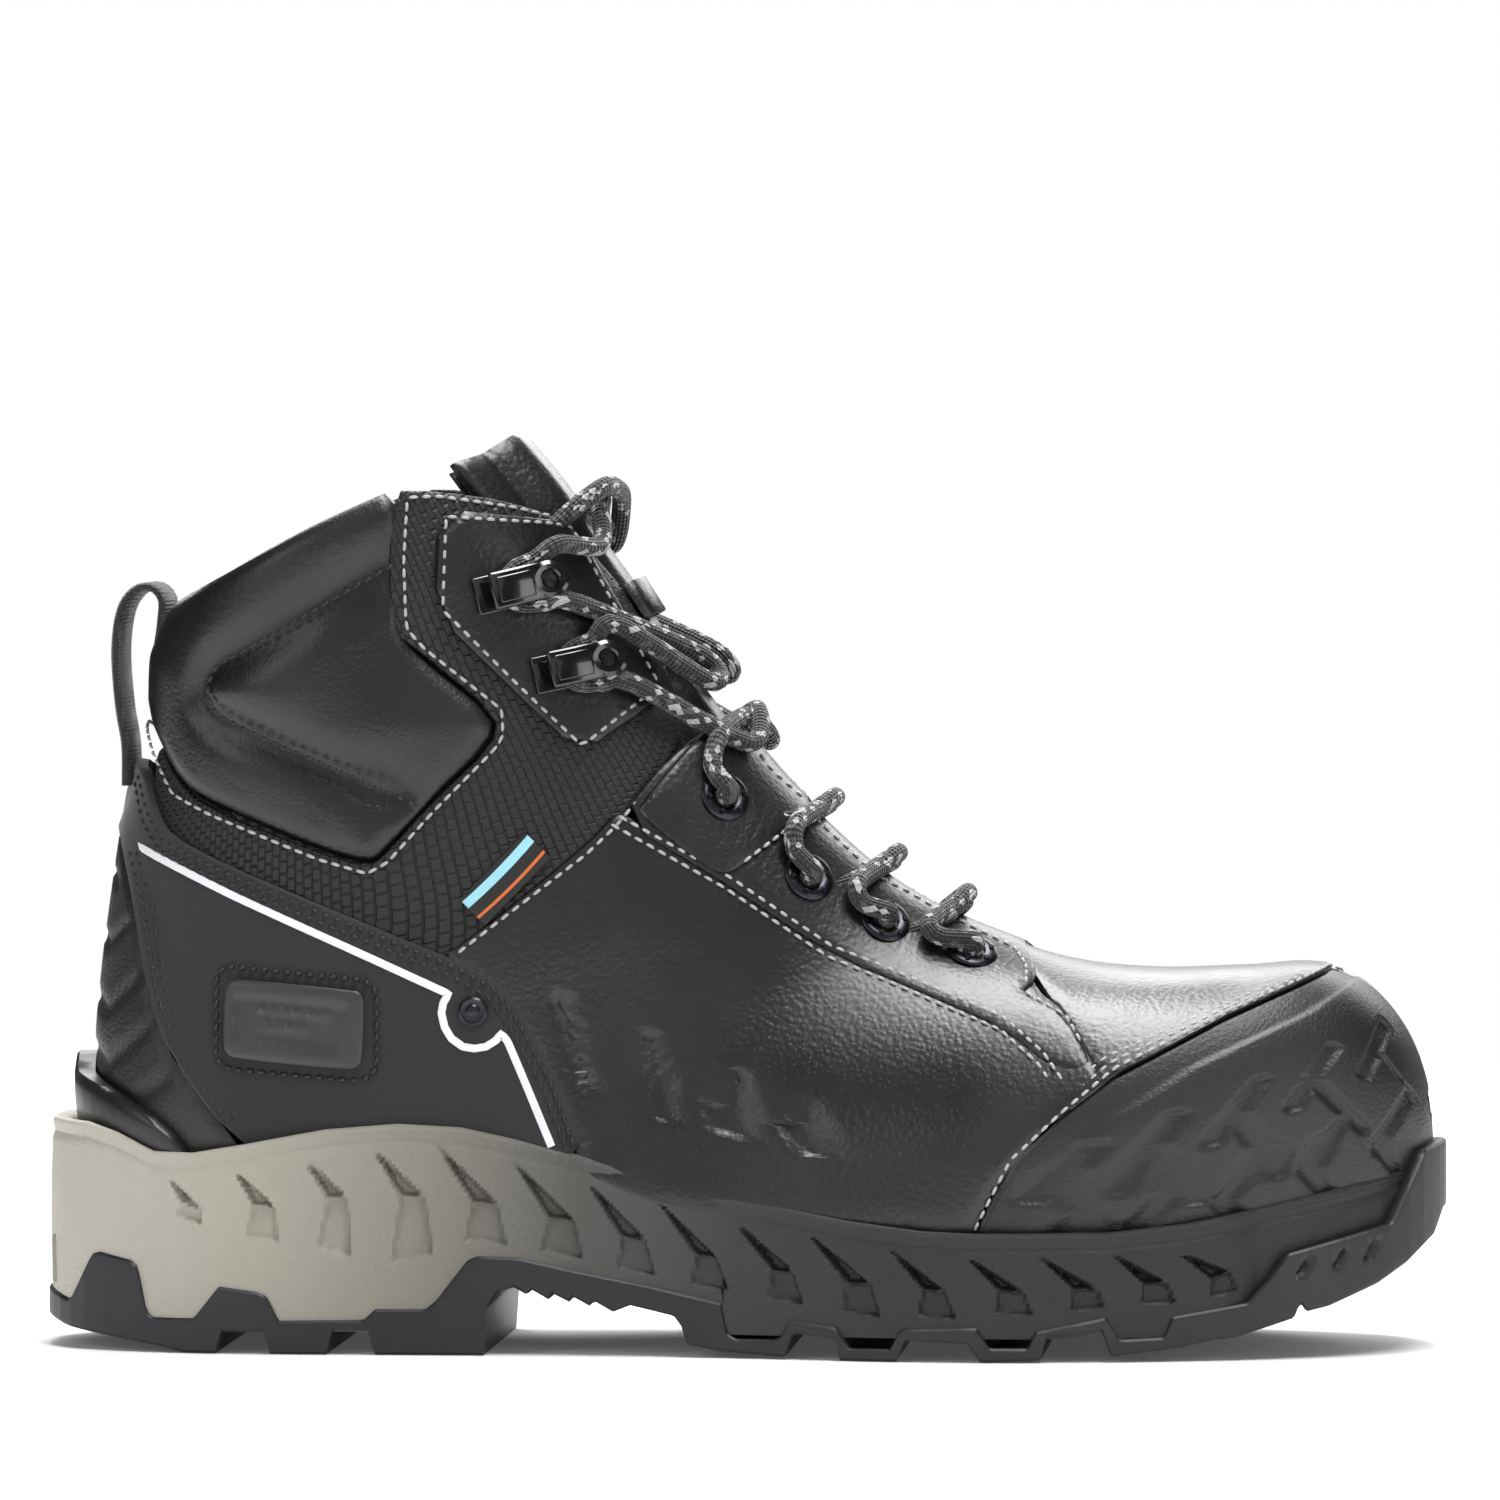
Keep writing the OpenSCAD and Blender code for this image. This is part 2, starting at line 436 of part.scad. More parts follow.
// Lining of the quarters, from the collar and the throat down to the insole board
LINING_TOP = [[-146, 139], [-134, 136.5], [-125, 127], [-112, 117], [-96, 110], [-80, 105.5], [-64, 118],
    [-46, 115], [-28, 112], [-6, 104], [16, 92], [38, 82], [56, 76], [68, 70]];
LINING_LOW = [[-140, 48], [-136, 46], [-124, 41], [-104, 39], [-84, 38], [-64, 36.5], [-46, 35], [-30, 34],
    [-14, 32], [4, 30], [22, 28], [38, 27], [50, 26.5], [59, 26]];
heel_slack = 0.4;
module lining(side) {
    color([0.25, 0.25, 0.26]) panel(strip(LINING_TOP, LINING_LOW, 5, side),
        lining_in - heel_slack, lining_out - heel_slack);
}
counter_out = cap_out - 0.7;
COUNTER_TOP = [[-60, 66], [-84, 84], [-104, 92], [-120, 95], [-129, 96.3], [-134, 96.8], [-137.5, 97],
    [-139.2, 97]];
COUNTER_LOW = [[-62, 47], [-84, 47], [-104, 47], [-118, 49], [-127, 51], [-132, 52.5], [-136, 54],
    [-138.6, 55]];
module heel_counter() {
    color([0.6, 0.55, 0.45])
        panel(round_heel(finer(COUNTER_TOP), finer(COUNTER_LOW), 4),
            counter_out - counter_wall, counter_out);
}
module heel_guard() {
    rows = [for (i = [0 : 6]) let (z = mix(112, 59, i / 6),
        x = lookup(z, [[59, -119], [66, -124], [80, -129.5], [98, -133], [113, -136]]),
        q = locate([x, z], 1))
        [for (j = [0 : 10]) [q[0], mix(q[1], 360 - q[1], j / 10)]]];
    color([0.2, 0.2, 0.21]) panel(rows, over_in, guard_out);
}

// Piping along the heel panel, round the stud and down to the midsole
LINE_PATH = [[-132, 111], [-118, 104], [-103, 97], [-88, 90.5], [-73, 84], [-66, 80.5], [-64, 74], [-60.5, 68],
    [-55, 67], [-50, 70], [-46, 62], [-42, 54]];
line_w = 1.7;
function line_edge(k, off) = let (a = LINE_PATH[max(k - 1, 0)], b = LINE_PATH[min(k + 1, len(LINE_PATH) - 1)],
    d = (b - a) / norm(b - a)) LINE_PATH[k] + [d[1], -d[0]] * off;
module reflective_line(side) {
    n = len(LINE_PATH) - 1;
    color([0.9, 0.9, 0.92]) panel(strip(finer([for (k = [0 : n]) line_edge(k, -line_w / 2)]),
        finer([for (k = [0 : n]) line_edge(k, line_w / 2)]), 1, side), 0.5, 1);
}
module badge() {
    color([0.17, 0.17, 0.17]) panel(strip([[-111, 80], [-103, 80.5], [-95, 81], [-82, 81.5]],
        [[-111, 63], [-103, 63.2], [-95, 63.5], [-82, 64]], 3, -1), over_in, over_in + 1.4);
}
module tag() {
    color([0.1, 0.1, 0.1]) panel(strip([[-60, 100], [-53, 107], [-46.3, 114]],
        [[-54.7, 94.6], [-48, 101.5], [-41, 108.8]], 2, -1), over_in, over_in + 0.8);
}
stud_d = 6.8;
module heel_studs() {
    color([0.3, 0.3, 0.32]) for (side = [-1, 1]) on_skin(place(-57.4, 75.4, side), 1.1)
        rotate_extrude($fn = 40) polygon([[0, 0], [stud_d / 2, 0], [stud_d / 2, 0.5], [stud_d / 2 - 0.6, 1.1],
            [stud_d / 2 - 1.4, 1.1], [stud_d / 2 - 1.8, 0.8], [0, 0.8]]);
}

// Webbing loop sewn over the back of the collar
loop_w = 24;
loop_t = 1.8;
LOOP_PATH = [[-135.6, 130], [-136.4, 140], [-137.3, 150], [-137.6, 158], [-136.2, 165], [-132.5, 168.8],
    [-128.6, 168.8], [-126.4, 167.4]];
module pull_loop() {
    n = len(LOOP_PATH) - 1;
    function out(k) = let (a = LOOP_PATH[max(k - 1, 0)], b = LOOP_PATH[min(k + 1, n)], d = (b - a) / norm(b - a))
        [-d[1], d[0]];
    function rows(off) = [for (k = [0 : n]) let (p = LOOP_PATH[k] + out(k) * off)
        [for (s = [-1, 1]) [scale_x * p[0], s * loop_w / 2, scale_z * p[1]]]];
    color([0.1, 0.1, 0.1]) sheet(rows(loop_t), rows(0));
}

// ---- Tongue: crowned in the middle, with edges that lie under the eyestays ----
tongue_edge_drop = 6.6;
tongue_half = throat_half + 9;
function y_angle(u, y) = let (r = ring(u)) asin(pow(min(0.99, y / scale_y / r[4]), 1 / r[7]));
function crown(y) = -lookup(y, [[0, 0], [7, 0.4], [10, 2.6], [13, 5], [15.5, tongue_edge_drop]]);
TONGUE_Y = [-tongue_half, -20, -15.5, -13, -10, -7, 0, 7, 10, 13, 15.5, 20, tongue_half];
module tongue_layer(u0, u1, steps, top, bottom, color_value) {
    us = [for (i = [0 : steps]) mix(u0, u1, i / steps)];
    color(color_value) sheet(
        [for (u = us) [for (y = TONGUE_Y) skin(u, sign(y) * y_angle(u, abs(y)), crown(abs(y)) + top)]],
        [for (u = us) [for (y = TONGUE_Y) skin(u, sign(y) * y_angle(u, abs(y)), crown(abs(y)) + bottom)]]);
}
tongue_root = 10.1;
module tongue() {
    tongue_layer(0, tongue_root, 17, 0, -tongue_t + 1.6, [0.15, 0.15, 0.16]);
}
module tongue_lining() {
    tongue_layer(0.1, tongue_root, 17, -tongue_t + 1.2, -tongue_t, [0.25, 0.25, 0.26]);
}
module tongue_loop() {
    color([0.13, 0.13, 0.14]) for (u = [2.1])
        sheet([for (v = [u - 0.45, u, u + 0.45]) [for (y = [-8, 0, 8])
            skin(v, sign(y) * y_angle(v, abs(y)), 1.6)]],
            [for (v = [u - 0.45, u, u + 0.45]) [for (y = [-8, 0, 8])
            skin(v, sign(y) * y_angle(v, abs(y)), 0.5)]]);
}

// ---- Lace hooks ----
HOOK_AT = [[-49, 168], [-35.5, 150.5]];
hook_plate_d = 9;
module lace_hook() {
    cylinder(h = 1, d = hook_plate_d, $fn = 32);
    translate([0, 0, 0.5]) cylinder(h = 6.3, d = 3.4, $fn = 24);
    translate([0, 0, 6.3]) cylinder(h = 1.2, d = hook_plate_d, $fn = 32);
}
module lace_hooks(side) {
    color([0.1, 0.1, 0.1]) for (p = HOOK_AT) on_skin(locate(p, side), over_out + 0.5) lace_hook();
}

// ---- Lace: from behind the tongue, round the hooks, over the eyelets and back up ----
LACE_ROUTE = [
    [-36, 3, 193], [-34.5, 17, 185.5], [-38, 30, 176.5], [-49.5, 36.5, 174.5], [-50, 38, 163],
    [-38, 34.5, 164], [-28, 18, 173.5], [-25, 0, 178], [-24, -26, 158.5], [-36, -33, 157.5],
    [-36.5, -36, 146], [-25, -31.5, 145.5], [-4.5, 0, 154], [-6, 24.5, 130], [4, 25, 119],
    [20.5, 0, 118], [13.5, -24.5, 110.5], [22, -24.5, 104], [39, 0, 109], [29.5, 20.5, 100.5],
    [38.5, 20.5, 96], [50.5, 0, 96.5], [47.5, -21, 94.5], [57, -21, 90.5], [62, 0, 92],
    [57, 19.5, 90.5], [47.5, 19.5, 94.5], [53, 0, 101.5], [38.5, -21.5, 96], [29.5, -21.5, 100.5],
    [36, 0, 104.5], [22, 24, 104], [13.5, 24, 110.5], [23.5, 0, 122], [4, -25.5, 119], [-6, -25, 130],
    [-8.5, 0, 151], [-25, 31.5, 145.5], [-36.5, 36, 146], [-36, 33, 157.5], [-24, 26, 158.5],
    [-20, 0, 181], [-27, -18, 175], [-38, -34.5, 164], [-50, -38, 163], [-49.5, -36.5, 174.5],
    [-38, -30, 176.5], [-35.5, -17, 188], [-41, -2, 200]];
lace_sides = 8;
function route_at(i, t) = spline(LACE_ROUTE[max(i - 1, 0)], LACE_ROUTE[i], LACE_ROUTE[i + 1],
    LACE_ROUTE[min(i + 2, len(LACE_ROUTE) - 1)], t);
LACE_LINE = concat([for (i = [0 : len(LACE_ROUTE) - 2])
    let (long = norm(LACE_ROUTE[i + 1] - LACE_ROUTE[i]), steps = long < 13 ? 3 : round(long / 14))
    for (k = [0 : steps - 1]) route_at(i, k / steps)], [LACE_ROUTE[len(LACE_ROUTE) - 1]]);
function unit(v) = v / norm(v);
LACE_WAY = [for (i = [0 : len(LACE_LINE) - 1])
    unit(LACE_LINE[min(i + 1, len(LACE_LINE) - 1)] - LACE_LINE[max(i - 1, 0)])];
// The frame is carried along the lace without twisting it
LACE_SIDE = [for (i = 0, n = unit(cross(LACE_WAY[0], [0, 0, 1])); i < len(LACE_LINE);
    i = i + 1, n = i < len(LACE_LINE) ? unit(n - LACE_WAY[i] * (n * LACE_WAY[i])) : n) n];
module lace() {
    n = len(LACE_LINE);
    rings = [for (i = [0 : n - 1]) let (a = LACE_SIDE[i], b = cross(a, LACE_WAY[i]))
        [for (k = [0 : lace_sides - 1]) let (t = 360 * k / lace_sides)
            LACE_LINE[i] + (a * cos(t) + b * sin(t)) * lace_d / 2]];
    color([0.1, 0.1, 0.1]) loft(rings);
}

outsole();
midsole();
heel_stabilizer();
heel_patch();
shank();
insole_board();
footbed();
toe_cap();
heel_counter();
lining(-1);  // lining_lateral
lining(1);  // lining_medial
vamp_lining();
vamp();
toe_guard();
quarter(-1);  // quarter_lateral
quarter(1);  // quarter_medial
eyestay(-1);  // eyestay_lateral
eyestay(1);  // eyestay_medial
hook_panel(-1);  // hook_panel_lateral
hook_panel(1);  // hook_panel_medial
ankle_panel(-1);  // ankle_panel_lateral
ankle_panel(1);  // ankle_panel_medial
collar(-1);  // collar_lateral
collar(1);  // collar_medial
heel_panel(-1);  // heel_panel_lateral
heel_panel(1);  // heel_panel_medial
heel_guard();
reflective_line(-1);  // reflective_line_lateral
reflective_line(1);  // reflective_line_medial
badge();
heel_studs();
tag();
pull_loop();
tongue();
tongue_lining();
tongue_loop();
color([0.35, 0.35, 0.37]) eyelets(-1);  // eyelets_lateral
color([0.35, 0.35, 0.37]) eyelets(1);  // eyelets_medial
lace_hooks(-1);  // lace_hooks_lateral
lace_hooks(1);  // lace_hooks_medial
lace();
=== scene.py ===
# %% [markdown]
# A six-inch work boot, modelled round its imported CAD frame. The CAD nodes carry the sizes and the
# joints, and this lesson gives each visible piece the shape and finish of the real one.
# Everything is in metres, with +X to the toe, +Y to the inner side and +Z up.

# %% Load the frame
import json
import math

import bmesh
import bpy
import numpy as np
from mathutils import Matrix, Vector
from mathutils.geometry import delaunay_2d_cdt


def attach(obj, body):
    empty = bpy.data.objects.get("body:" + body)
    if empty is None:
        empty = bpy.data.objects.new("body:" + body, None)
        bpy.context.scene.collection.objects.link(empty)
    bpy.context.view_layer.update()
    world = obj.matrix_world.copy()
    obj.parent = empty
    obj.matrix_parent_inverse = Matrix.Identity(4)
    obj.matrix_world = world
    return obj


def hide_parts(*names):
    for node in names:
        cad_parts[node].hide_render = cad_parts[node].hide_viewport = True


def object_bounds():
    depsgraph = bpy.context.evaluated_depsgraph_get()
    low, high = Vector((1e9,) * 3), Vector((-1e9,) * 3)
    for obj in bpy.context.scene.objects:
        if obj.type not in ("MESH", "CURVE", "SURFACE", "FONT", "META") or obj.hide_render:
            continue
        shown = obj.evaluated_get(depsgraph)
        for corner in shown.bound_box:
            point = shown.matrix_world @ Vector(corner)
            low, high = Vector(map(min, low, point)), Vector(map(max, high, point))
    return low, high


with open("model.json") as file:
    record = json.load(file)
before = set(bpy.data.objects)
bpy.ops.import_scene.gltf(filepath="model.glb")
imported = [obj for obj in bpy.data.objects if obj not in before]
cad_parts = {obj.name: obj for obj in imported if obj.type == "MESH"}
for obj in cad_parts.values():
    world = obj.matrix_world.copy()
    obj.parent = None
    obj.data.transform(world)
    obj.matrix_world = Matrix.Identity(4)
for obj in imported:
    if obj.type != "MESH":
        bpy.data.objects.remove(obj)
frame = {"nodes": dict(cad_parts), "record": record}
cad_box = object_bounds()
MM = 0.001

# %% [markdown]
# The camera comes first. The boot is seen square from its outer side with a long lens, slightly
# from the toe end, so the outline of the sole stays almost flat.

# %% Camera
low, high = (np.array(corner) for corner in cad_box)
centre = (low + high) / 2
azimuth, elevation, distance = math.radians(4), math.radians(1.5), 2.6
back = Vector((math.sin(azimuth) * math.cos(elevation), -math.cos(azimuth) * math.cos(elevation),
               math.sin(elevation)))
lens_data = bpy.data.cameras.new("camera")
camera = bpy.data.objects.new("camera", lens_data)
bpy.context.collection.objects.link(camera)
aim = Vector((centre[0] + 0.0004, centre[1], 0.1319))
camera.location = aim + back * distance
camera.rotation_euler = back.to_track_quat("Z", "Y").to_euler()
picture_width = 0.3338
lens_data.lens = 36 * distance / picture_width
lens_data.dof.use_dof = False
bpy.context.scene.camera = camera
print("lens", round(lens_data.lens))

# %% [markdown]
# A boot is built on a last, a solid foot. The same row of slanted rings that drives the CAD panels
# gives the surface here, so that every panel lands on its node. A ring holds its front and back
# point in the side view, its half widths, where it is widest, and how round it is.

# %% The last
RINGS = np.array([
    [-50, 203, -127, 165, 39, 39, 0.55, 0.90, 0.90],
    [-36, 185, -131, 152, 38, 38, 0.55, 0.90, 0.90],
    [-24, 167, -133.5, 137, 36.5, 36.5, 0.55, 0.90, 0.88],
    [-13, 150, -135.5, 124, 36, 36, 0.55, 0.90, 0.86],
    [-3, 137, -137.5, 112, 36, 36, 0.55, 0.90, 0.84],
    [7, 125, -139.5, 98, 36.5, 36, 0.56, 0.90, 0.82],
    [17, 115, -141.5, 82, 37, 36.5, 0.57, 0.90, 0.80],
    [27, 106, -142.5, 64, 38, 37.5, 0.60, 0.90, 0.75],
    [37, 99, -139, 45, 38, 36.5, 0.64, 0.90, 0.66],
    [47, 94, -118, 33, 38, 35.5, 0.68, 0.90, 0.56],
    [57, 90, -75, 30.5, 39, 35.5, 0.70, 0.90, 0.50],
    [67, 86.5, -25, 24.5, 43, 39, 0.70, 0.88, 0.46],
    [79, 84, 22, 19.5, 48.5, 46, 0.68, 0.85, 0.44],
    [94, 83, 62, 18.5, 49, 49.5, 0.66, 0.80, 0.42],
    [110, 83.5, 92, 19, 44, 48, 0.64, 0.76, 0.42],
    [124, 83.5, 112, 21, 37, 43.5, 0.62, 0.72, 0.42],
    [135.5, 79, 127, 24, 30, 38, 0.58, 0.72, 0.45],
    [144, 70, 138, 28, 22.5, 30, 0.54, 0.76, 0.50],
    [149, 58, 145, 32.5, 13.5, 19, 0.52, 0.84, 0.60],
    [150.3, 45, 149, 38, 5, 8, 0.50, 0.90, 0.90]])
LAST_RING = len(RINGS) - 1


def rings(u):
    """Rings at the places u, on a smooth curve through the drawn ones."""
    u = np.asarray(u, float)
    k = np.clip(np.floor(u).astype(int), 0, LAST_RING - 1)
    t = (u - k)[..., None]
    p0, p1 = RINGS[np.maximum(k - 1, 0)], RINGS[k]
    p2, p3 = RINGS[k + 1], RINGS[np.minimum(k + 2, LAST_RING)]
    return (p1 + (p2 - p0) * t / 2 + (2 * p0 - 5 * p1 + 4 * p2 - p3) * t ** 2 / 2
            + (3 * p1 - p0 - 3 * p2 + p3) * t ** 3 / 2)


def on_last(u, a):
    """Points of the last in mm: ring u, angle a in degrees from the front, negative outside."""
    a = (np.asarray(a, float) + 180) % 360 - 180
    r = rings(u)
    c, s = np.abs(np.cos(np.radians(a))), np.abs(np.sin(np.radians(a)))
    front = np.abs(a) <= 90
    w = np.where(front, r[..., 6] * (1 - c ** r[..., 7]),
                 r[..., 6] + (1 - r[..., 6]) * c ** r[..., 8])
    y = np.where(a < 0, -r[..., 4], r[..., 5]) * s ** np.where(front, r[..., 7], r[..., 8])
    return np.stack([r[..., 0] + (r[..., 2] - r[..., 0]) * w, y,
                     r[..., 1] + (r[..., 3] - r[..., 1]) * w], -1)


def last_normals(u, a):
    u, a = np.asarray(u, float), np.asarray(a, float)
    du = on_last(np.minimum(u + 0.12, LAST_RING), a) - on_last(np.maximum(u - 0.12, 0), a)
    n = np.cross(du, on_last(u, a + 3) - on_last(u, a - 3))
    return n / np.maximum(np.linalg.norm(n, axis=-1, keepdims=True), 1e-6)


def skin(u, a, off=0.0):
    """Points in mm that stand off the last by off."""
    return on_last(u, a) + last_normals(u, a) * np.asarray(off, float)[..., None]


def locate(points):
    """Ring and unsigned angle of side-view points (x, z) in mm."""
    p = np.asarray(points, float)
    lo, hi = np.zeros(len(p)), np.full(len(p), float(LAST_RING))
    for _ in range(22):
        mid = (lo + hi) / 2
        r = rings(mid)
        below = ((r[:, 2] - r[:, 0]) * (p[:, 1] - r[:, 1])
                 - (r[:, 3] - r[:, 1]) * (p[:, 0] - r[:, 0])) > 0
        lo, hi = np.where(below, mid, lo), np.where(below, hi, mid)
    u = (lo + hi) / 2
    r = rings(u)
    d = r[:, 2:4] - r[:, 0:2]
    w = np.clip(((p - r[:, 0:2]) * d).sum(1) / (d * d).sum(1), 0, 1)
    fore = np.degrees(np.arccos(np.clip(1 - w / r[:, 6], 0, 1) ** (1 / r[:, 7])))
    aft = 180 - np.degrees(np.arccos(np.clip((w - r[:, 6]) / (1 - r[:, 6]), 0, 1) ** (1 / r[:, 8])))
    return u, np.where(w <= r[:, 6], fore, aft)


print("rings", len(RINGS), "girth at the ball, mm",
      round(float(np.linalg.norm(np.diff(on_last(np.full(181, 13.0), np.arange(-180, 181, 2)),
                                         axis=0), axis=1).sum())))

# %% [markdown]
# Finishes come next, because every piece needs one. Colours are given as sRGB hex values, one
# function turns them to the linear numbers the shader wants, and one function adds a node.

# %% Colour and node helpers
def linear(colour):
    parts = [int(colour[k:k + 2], 16) / 255 for k in (1, 3, 5)]
    return tuple(c / 12.92 if c <= 0.04045 else ((c + 0.055) / 1.055) ** 2.4 for c in parts) + (1,)


def node(tree, kind, inputs=None, **settings):
    """Adds a node, sets its settings, and links or sets its inputs."""
    made = tree.nodes.new("ShaderNode" + kind)
    for key, value in settings.items():
        setattr(made, key, value)
    for key, value in (inputs or {}).items():
        if isinstance(value, bpy.types.NodeSocket):
            tree.links.new(value, made.inputs[key])
        else:
            made.inputs[key].default_value = value
    return made


def finish_named(name):
    """An empty material with its shader, and the tree to build on."""
    material = bpy.data.materials.new(name)
    material.use_nodes = True
    tree = material.node_tree
    return material, tree, tree.nodes["Principled BSDF"]


def blend_colours(tree, factor, dark, light, start=0.0, end=1.0):
    ramp = node(tree, "ValToRGB", {"Fac": factor})
    ramp.color_ramp.elements[0].position = start
    ramp.color_ramp.elements[0].color = linear(dark)
    ramp.color_ramp.elements[1].position = end
    ramp.color_ramp.elements[1].color = linear(light)
    return ramp.outputs["Color"]


def raise_surface(tree, shader, height, depth_mm):
    bump = node(tree, "Bump", {"Height": height, "Strength": 1.0, "Distance": depth_mm * MM})
    tree.links.new(bump.outputs["Normal"], shader.inputs["Normal"])


print("white is", linear("#ffffff"))

# %% [markdown]
# Full-grain leather is a hide with its own surface kept: pebbles about 1 mm across, finer creases
# between them, and a wax finish that leaves it half glossy. Voronoi cells give the pebbles and
# noise gives the slow change in shine where the hide was stretched over the last.

# %% Leathers
def leather_finish(name, dark, light, roughness, pebble_mm, depth_mm, coat=0.0):
    material, tree, shader = finish_named(name)
    place = node(tree, "TexCoord").outputs["Object"]
    warp = node(tree, "TexNoise", {"Vector": place, "Scale": 300.0, "Detail": 2.0})
    warped = node(tree, "VectorMath", {0: warp.outputs["Color"], "Scale": 0.7 * pebble_mm * MM},
                  operation="SCALE")
    moved = node(tree, "VectorMath", {0: place, 1: warped.outputs[0]}, operation="ADD")
    cells = node(tree, "TexVoronoi", {"Vector": moved.outputs[0], "Scale": 1 / (pebble_mm * MM)},
                 feature="SMOOTH_F1")
    fine = node(tree, "TexNoise", {"Vector": place, "Scale": 1 / (0.35 * MM), "Detail": 3.0})
    height = node(tree, "Math", {0: cells.outputs["Distance"], 1: -0.8}, operation="MULTIPLY")
    height = node(tree, "Math", {0: fine.outputs["Fac"], 1: 0.25, 2: height.outputs[0]},
                  operation="MULTIPLY_ADD")
    slow = node(tree, "TexNoise", {"Vector": place, "Scale": 28.0, "Detail": 4.0})
    colour = blend_colours(tree, slow.outputs["Fac"], dark, light, 0.3, 0.7)
    tree.links.new(colour, shader.inputs["Base Color"])
    shine = node(tree, "MapRange", {"Value": slow.outputs["Fac"], "From Min": 0.3, "From Max": 0.7,
                                    "To Min": roughness - 0.07, "To Max": roughness + 0.08})
    tree.links.new(shine.outputs[0], shader.inputs["Roughness"])
    raise_surface(tree, shader, height.outputs[0], depth_mm)
    shader.inputs["IOR"].default_value = 1.5
    shader.inputs["Coat Weight"].default_value = coat
    shader.inputs["Coat Roughness"].default_value = 0.3
    return material


# Waxed full-grain hide: deep black with a soft shine on every curve
full_grain = leather_finish("waxed_full_grain_leather", "#0b0b0c", "#121213", 0.36, 1.1, 0.16, 0.25)
# Garment leather over foam: finer grain and softer shine
collar_leather = leather_finish("soft_collar_leather", "#0a0a0b", "#111112", 0.4, 0.8, 0.12, 0.15)
# Nubuck is sanded full grain, so it is matt and a little greyer
nubuck = leather_finish("sanded_nubuck", "#19191a", "#222223", 0.82, 0.7, 0.1)
nubuck.node_tree.nodes["Principled BSDF"].inputs["Sheen Weight"].default_value = 0.25
print("leathers", full_grain.name, collar_leather.name, nubuck.name)

# %% [markdown]
# The sole is three materials: black outsole rubber with a bluish bloom, foam of the midsole that
# fades from olive grey at the heel to black at the toe, and hard moulded plastic at the heel. All
# came out of a textured steel mould, so a fine noise is enough for their grain.

# %% Rubber, foam and plastic
def moulded_finish(name, dark, light, roughness, grain_mm, depth_mm, mottle=18.0):
    material, tree, shader = finish_named(name)
    place = node(tree, "TexCoord").outputs["Object"]
    slow = node(tree, "TexNoise", {"Vector": place, "Scale": mottle, "Detail": 5.0})
    tree.links.new(blend_colours(tree, slow.outputs["Fac"], dark, light, 0.35, 0.65),
                   shader.inputs["Base Color"])
    grain = node(tree, "TexNoise", {"Vector": place, "Scale": 1 / (grain_mm * MM), "Detail": 2.0})
    raise_surface(tree, shader, grain.outputs["Fac"], depth_mm)
    shader.inputs["Roughness"].default_value = roughness
    return material


# Carbon-filled nitrile rubber: dark and bluish
outsole_rubber = moulded_finish("nitrile_outsole_rubber", "#141519", "#1c1d22", 0.5, 0.7, 0.06)
# The guards are the same rubber with a coarser leather-like grain
guard_rubber = moulded_finish("grained_guard_rubber", "#18181a", "#202022", 0.46, 0.8, 0.16)
# Glass-filled TPU of the heel clip: smooth, with a low shine
clip_plastic = moulded_finish("moulded_tpu", "#141416", "#1b1b1e", 0.38, 0.5, 0.02)
# Bare EVA in olive grey
olive_foam = moulded_finish("olive_eva_foam", "#858172", "#969283", 0.7, 0.6, 0.05)
# Badge: soft rubber moulded in one piece
badge_rubber = moulded_finish("badge_rubber", "#2c2c2e", "#353537", 0.42, 0.5, 0.03)

# EVA midsole: the colour was sprayed, so it fades along the sole
midsole_foam, tree, shader = finish_named("sprayed_eva_foam")
place = node(tree, "TexCoord").outputs["Object"]
along_sole = node(tree, "SeparateXYZ", {0: place}).outputs["X"]
speck = node(tree, "TexNoise", {"Vector": place, "Scale": 1 / (0.9 * MM), "Detail": 2.0})
where = node(tree, "Math", {0: speck.outputs["Fac"], 1: 0.012, 2: along_sole},
             operation="MULTIPLY_ADD")
fade = node(tree, "MapRange", {"Value": where.outputs[0], "From Min": -0.149, "From Max": 0.151})
ramp = node(tree, "ValToRGB", {"Fac": fade.outputs[0]})
stops = ramp.color_ramp.elements
stops[0].position, stops[0].color = 0.0, linear("#b4afa5")
stops[1].position, stops[1].color = 1.0, linear("#1a1b1c")
for spot, colour in ((0.16, "#9f9b8f"), (0.30, "#7b786f"), (0.40, "#4d4c49"), (0.52, "#2d2e2e"),
                     (0.64, "#1e1f20")):
    stops.new(spot).color = linear(colour)
tree.links.new(ramp.outputs["Color"], shader.inputs["Base Color"])
skin_grain = node(tree, "TexNoise", {"Vector": place, "Scale": 1 / (0.8 * MM), "Detail": 3.0})
raise_surface(tree, shader, skin_grain.outputs["Fac"], 0.18)
shader.inputs["Roughness"].default_value = 0.6
print("sole", outsole_rubber.name, midsole_foam.name, clip_plastic.name)

# %% [markdown]
# The ankle is a coated textile embossed with rows of small raised pads. The rows follow the panel's
# own UV map, which is laid out in millimetres, so they bend with the boot.

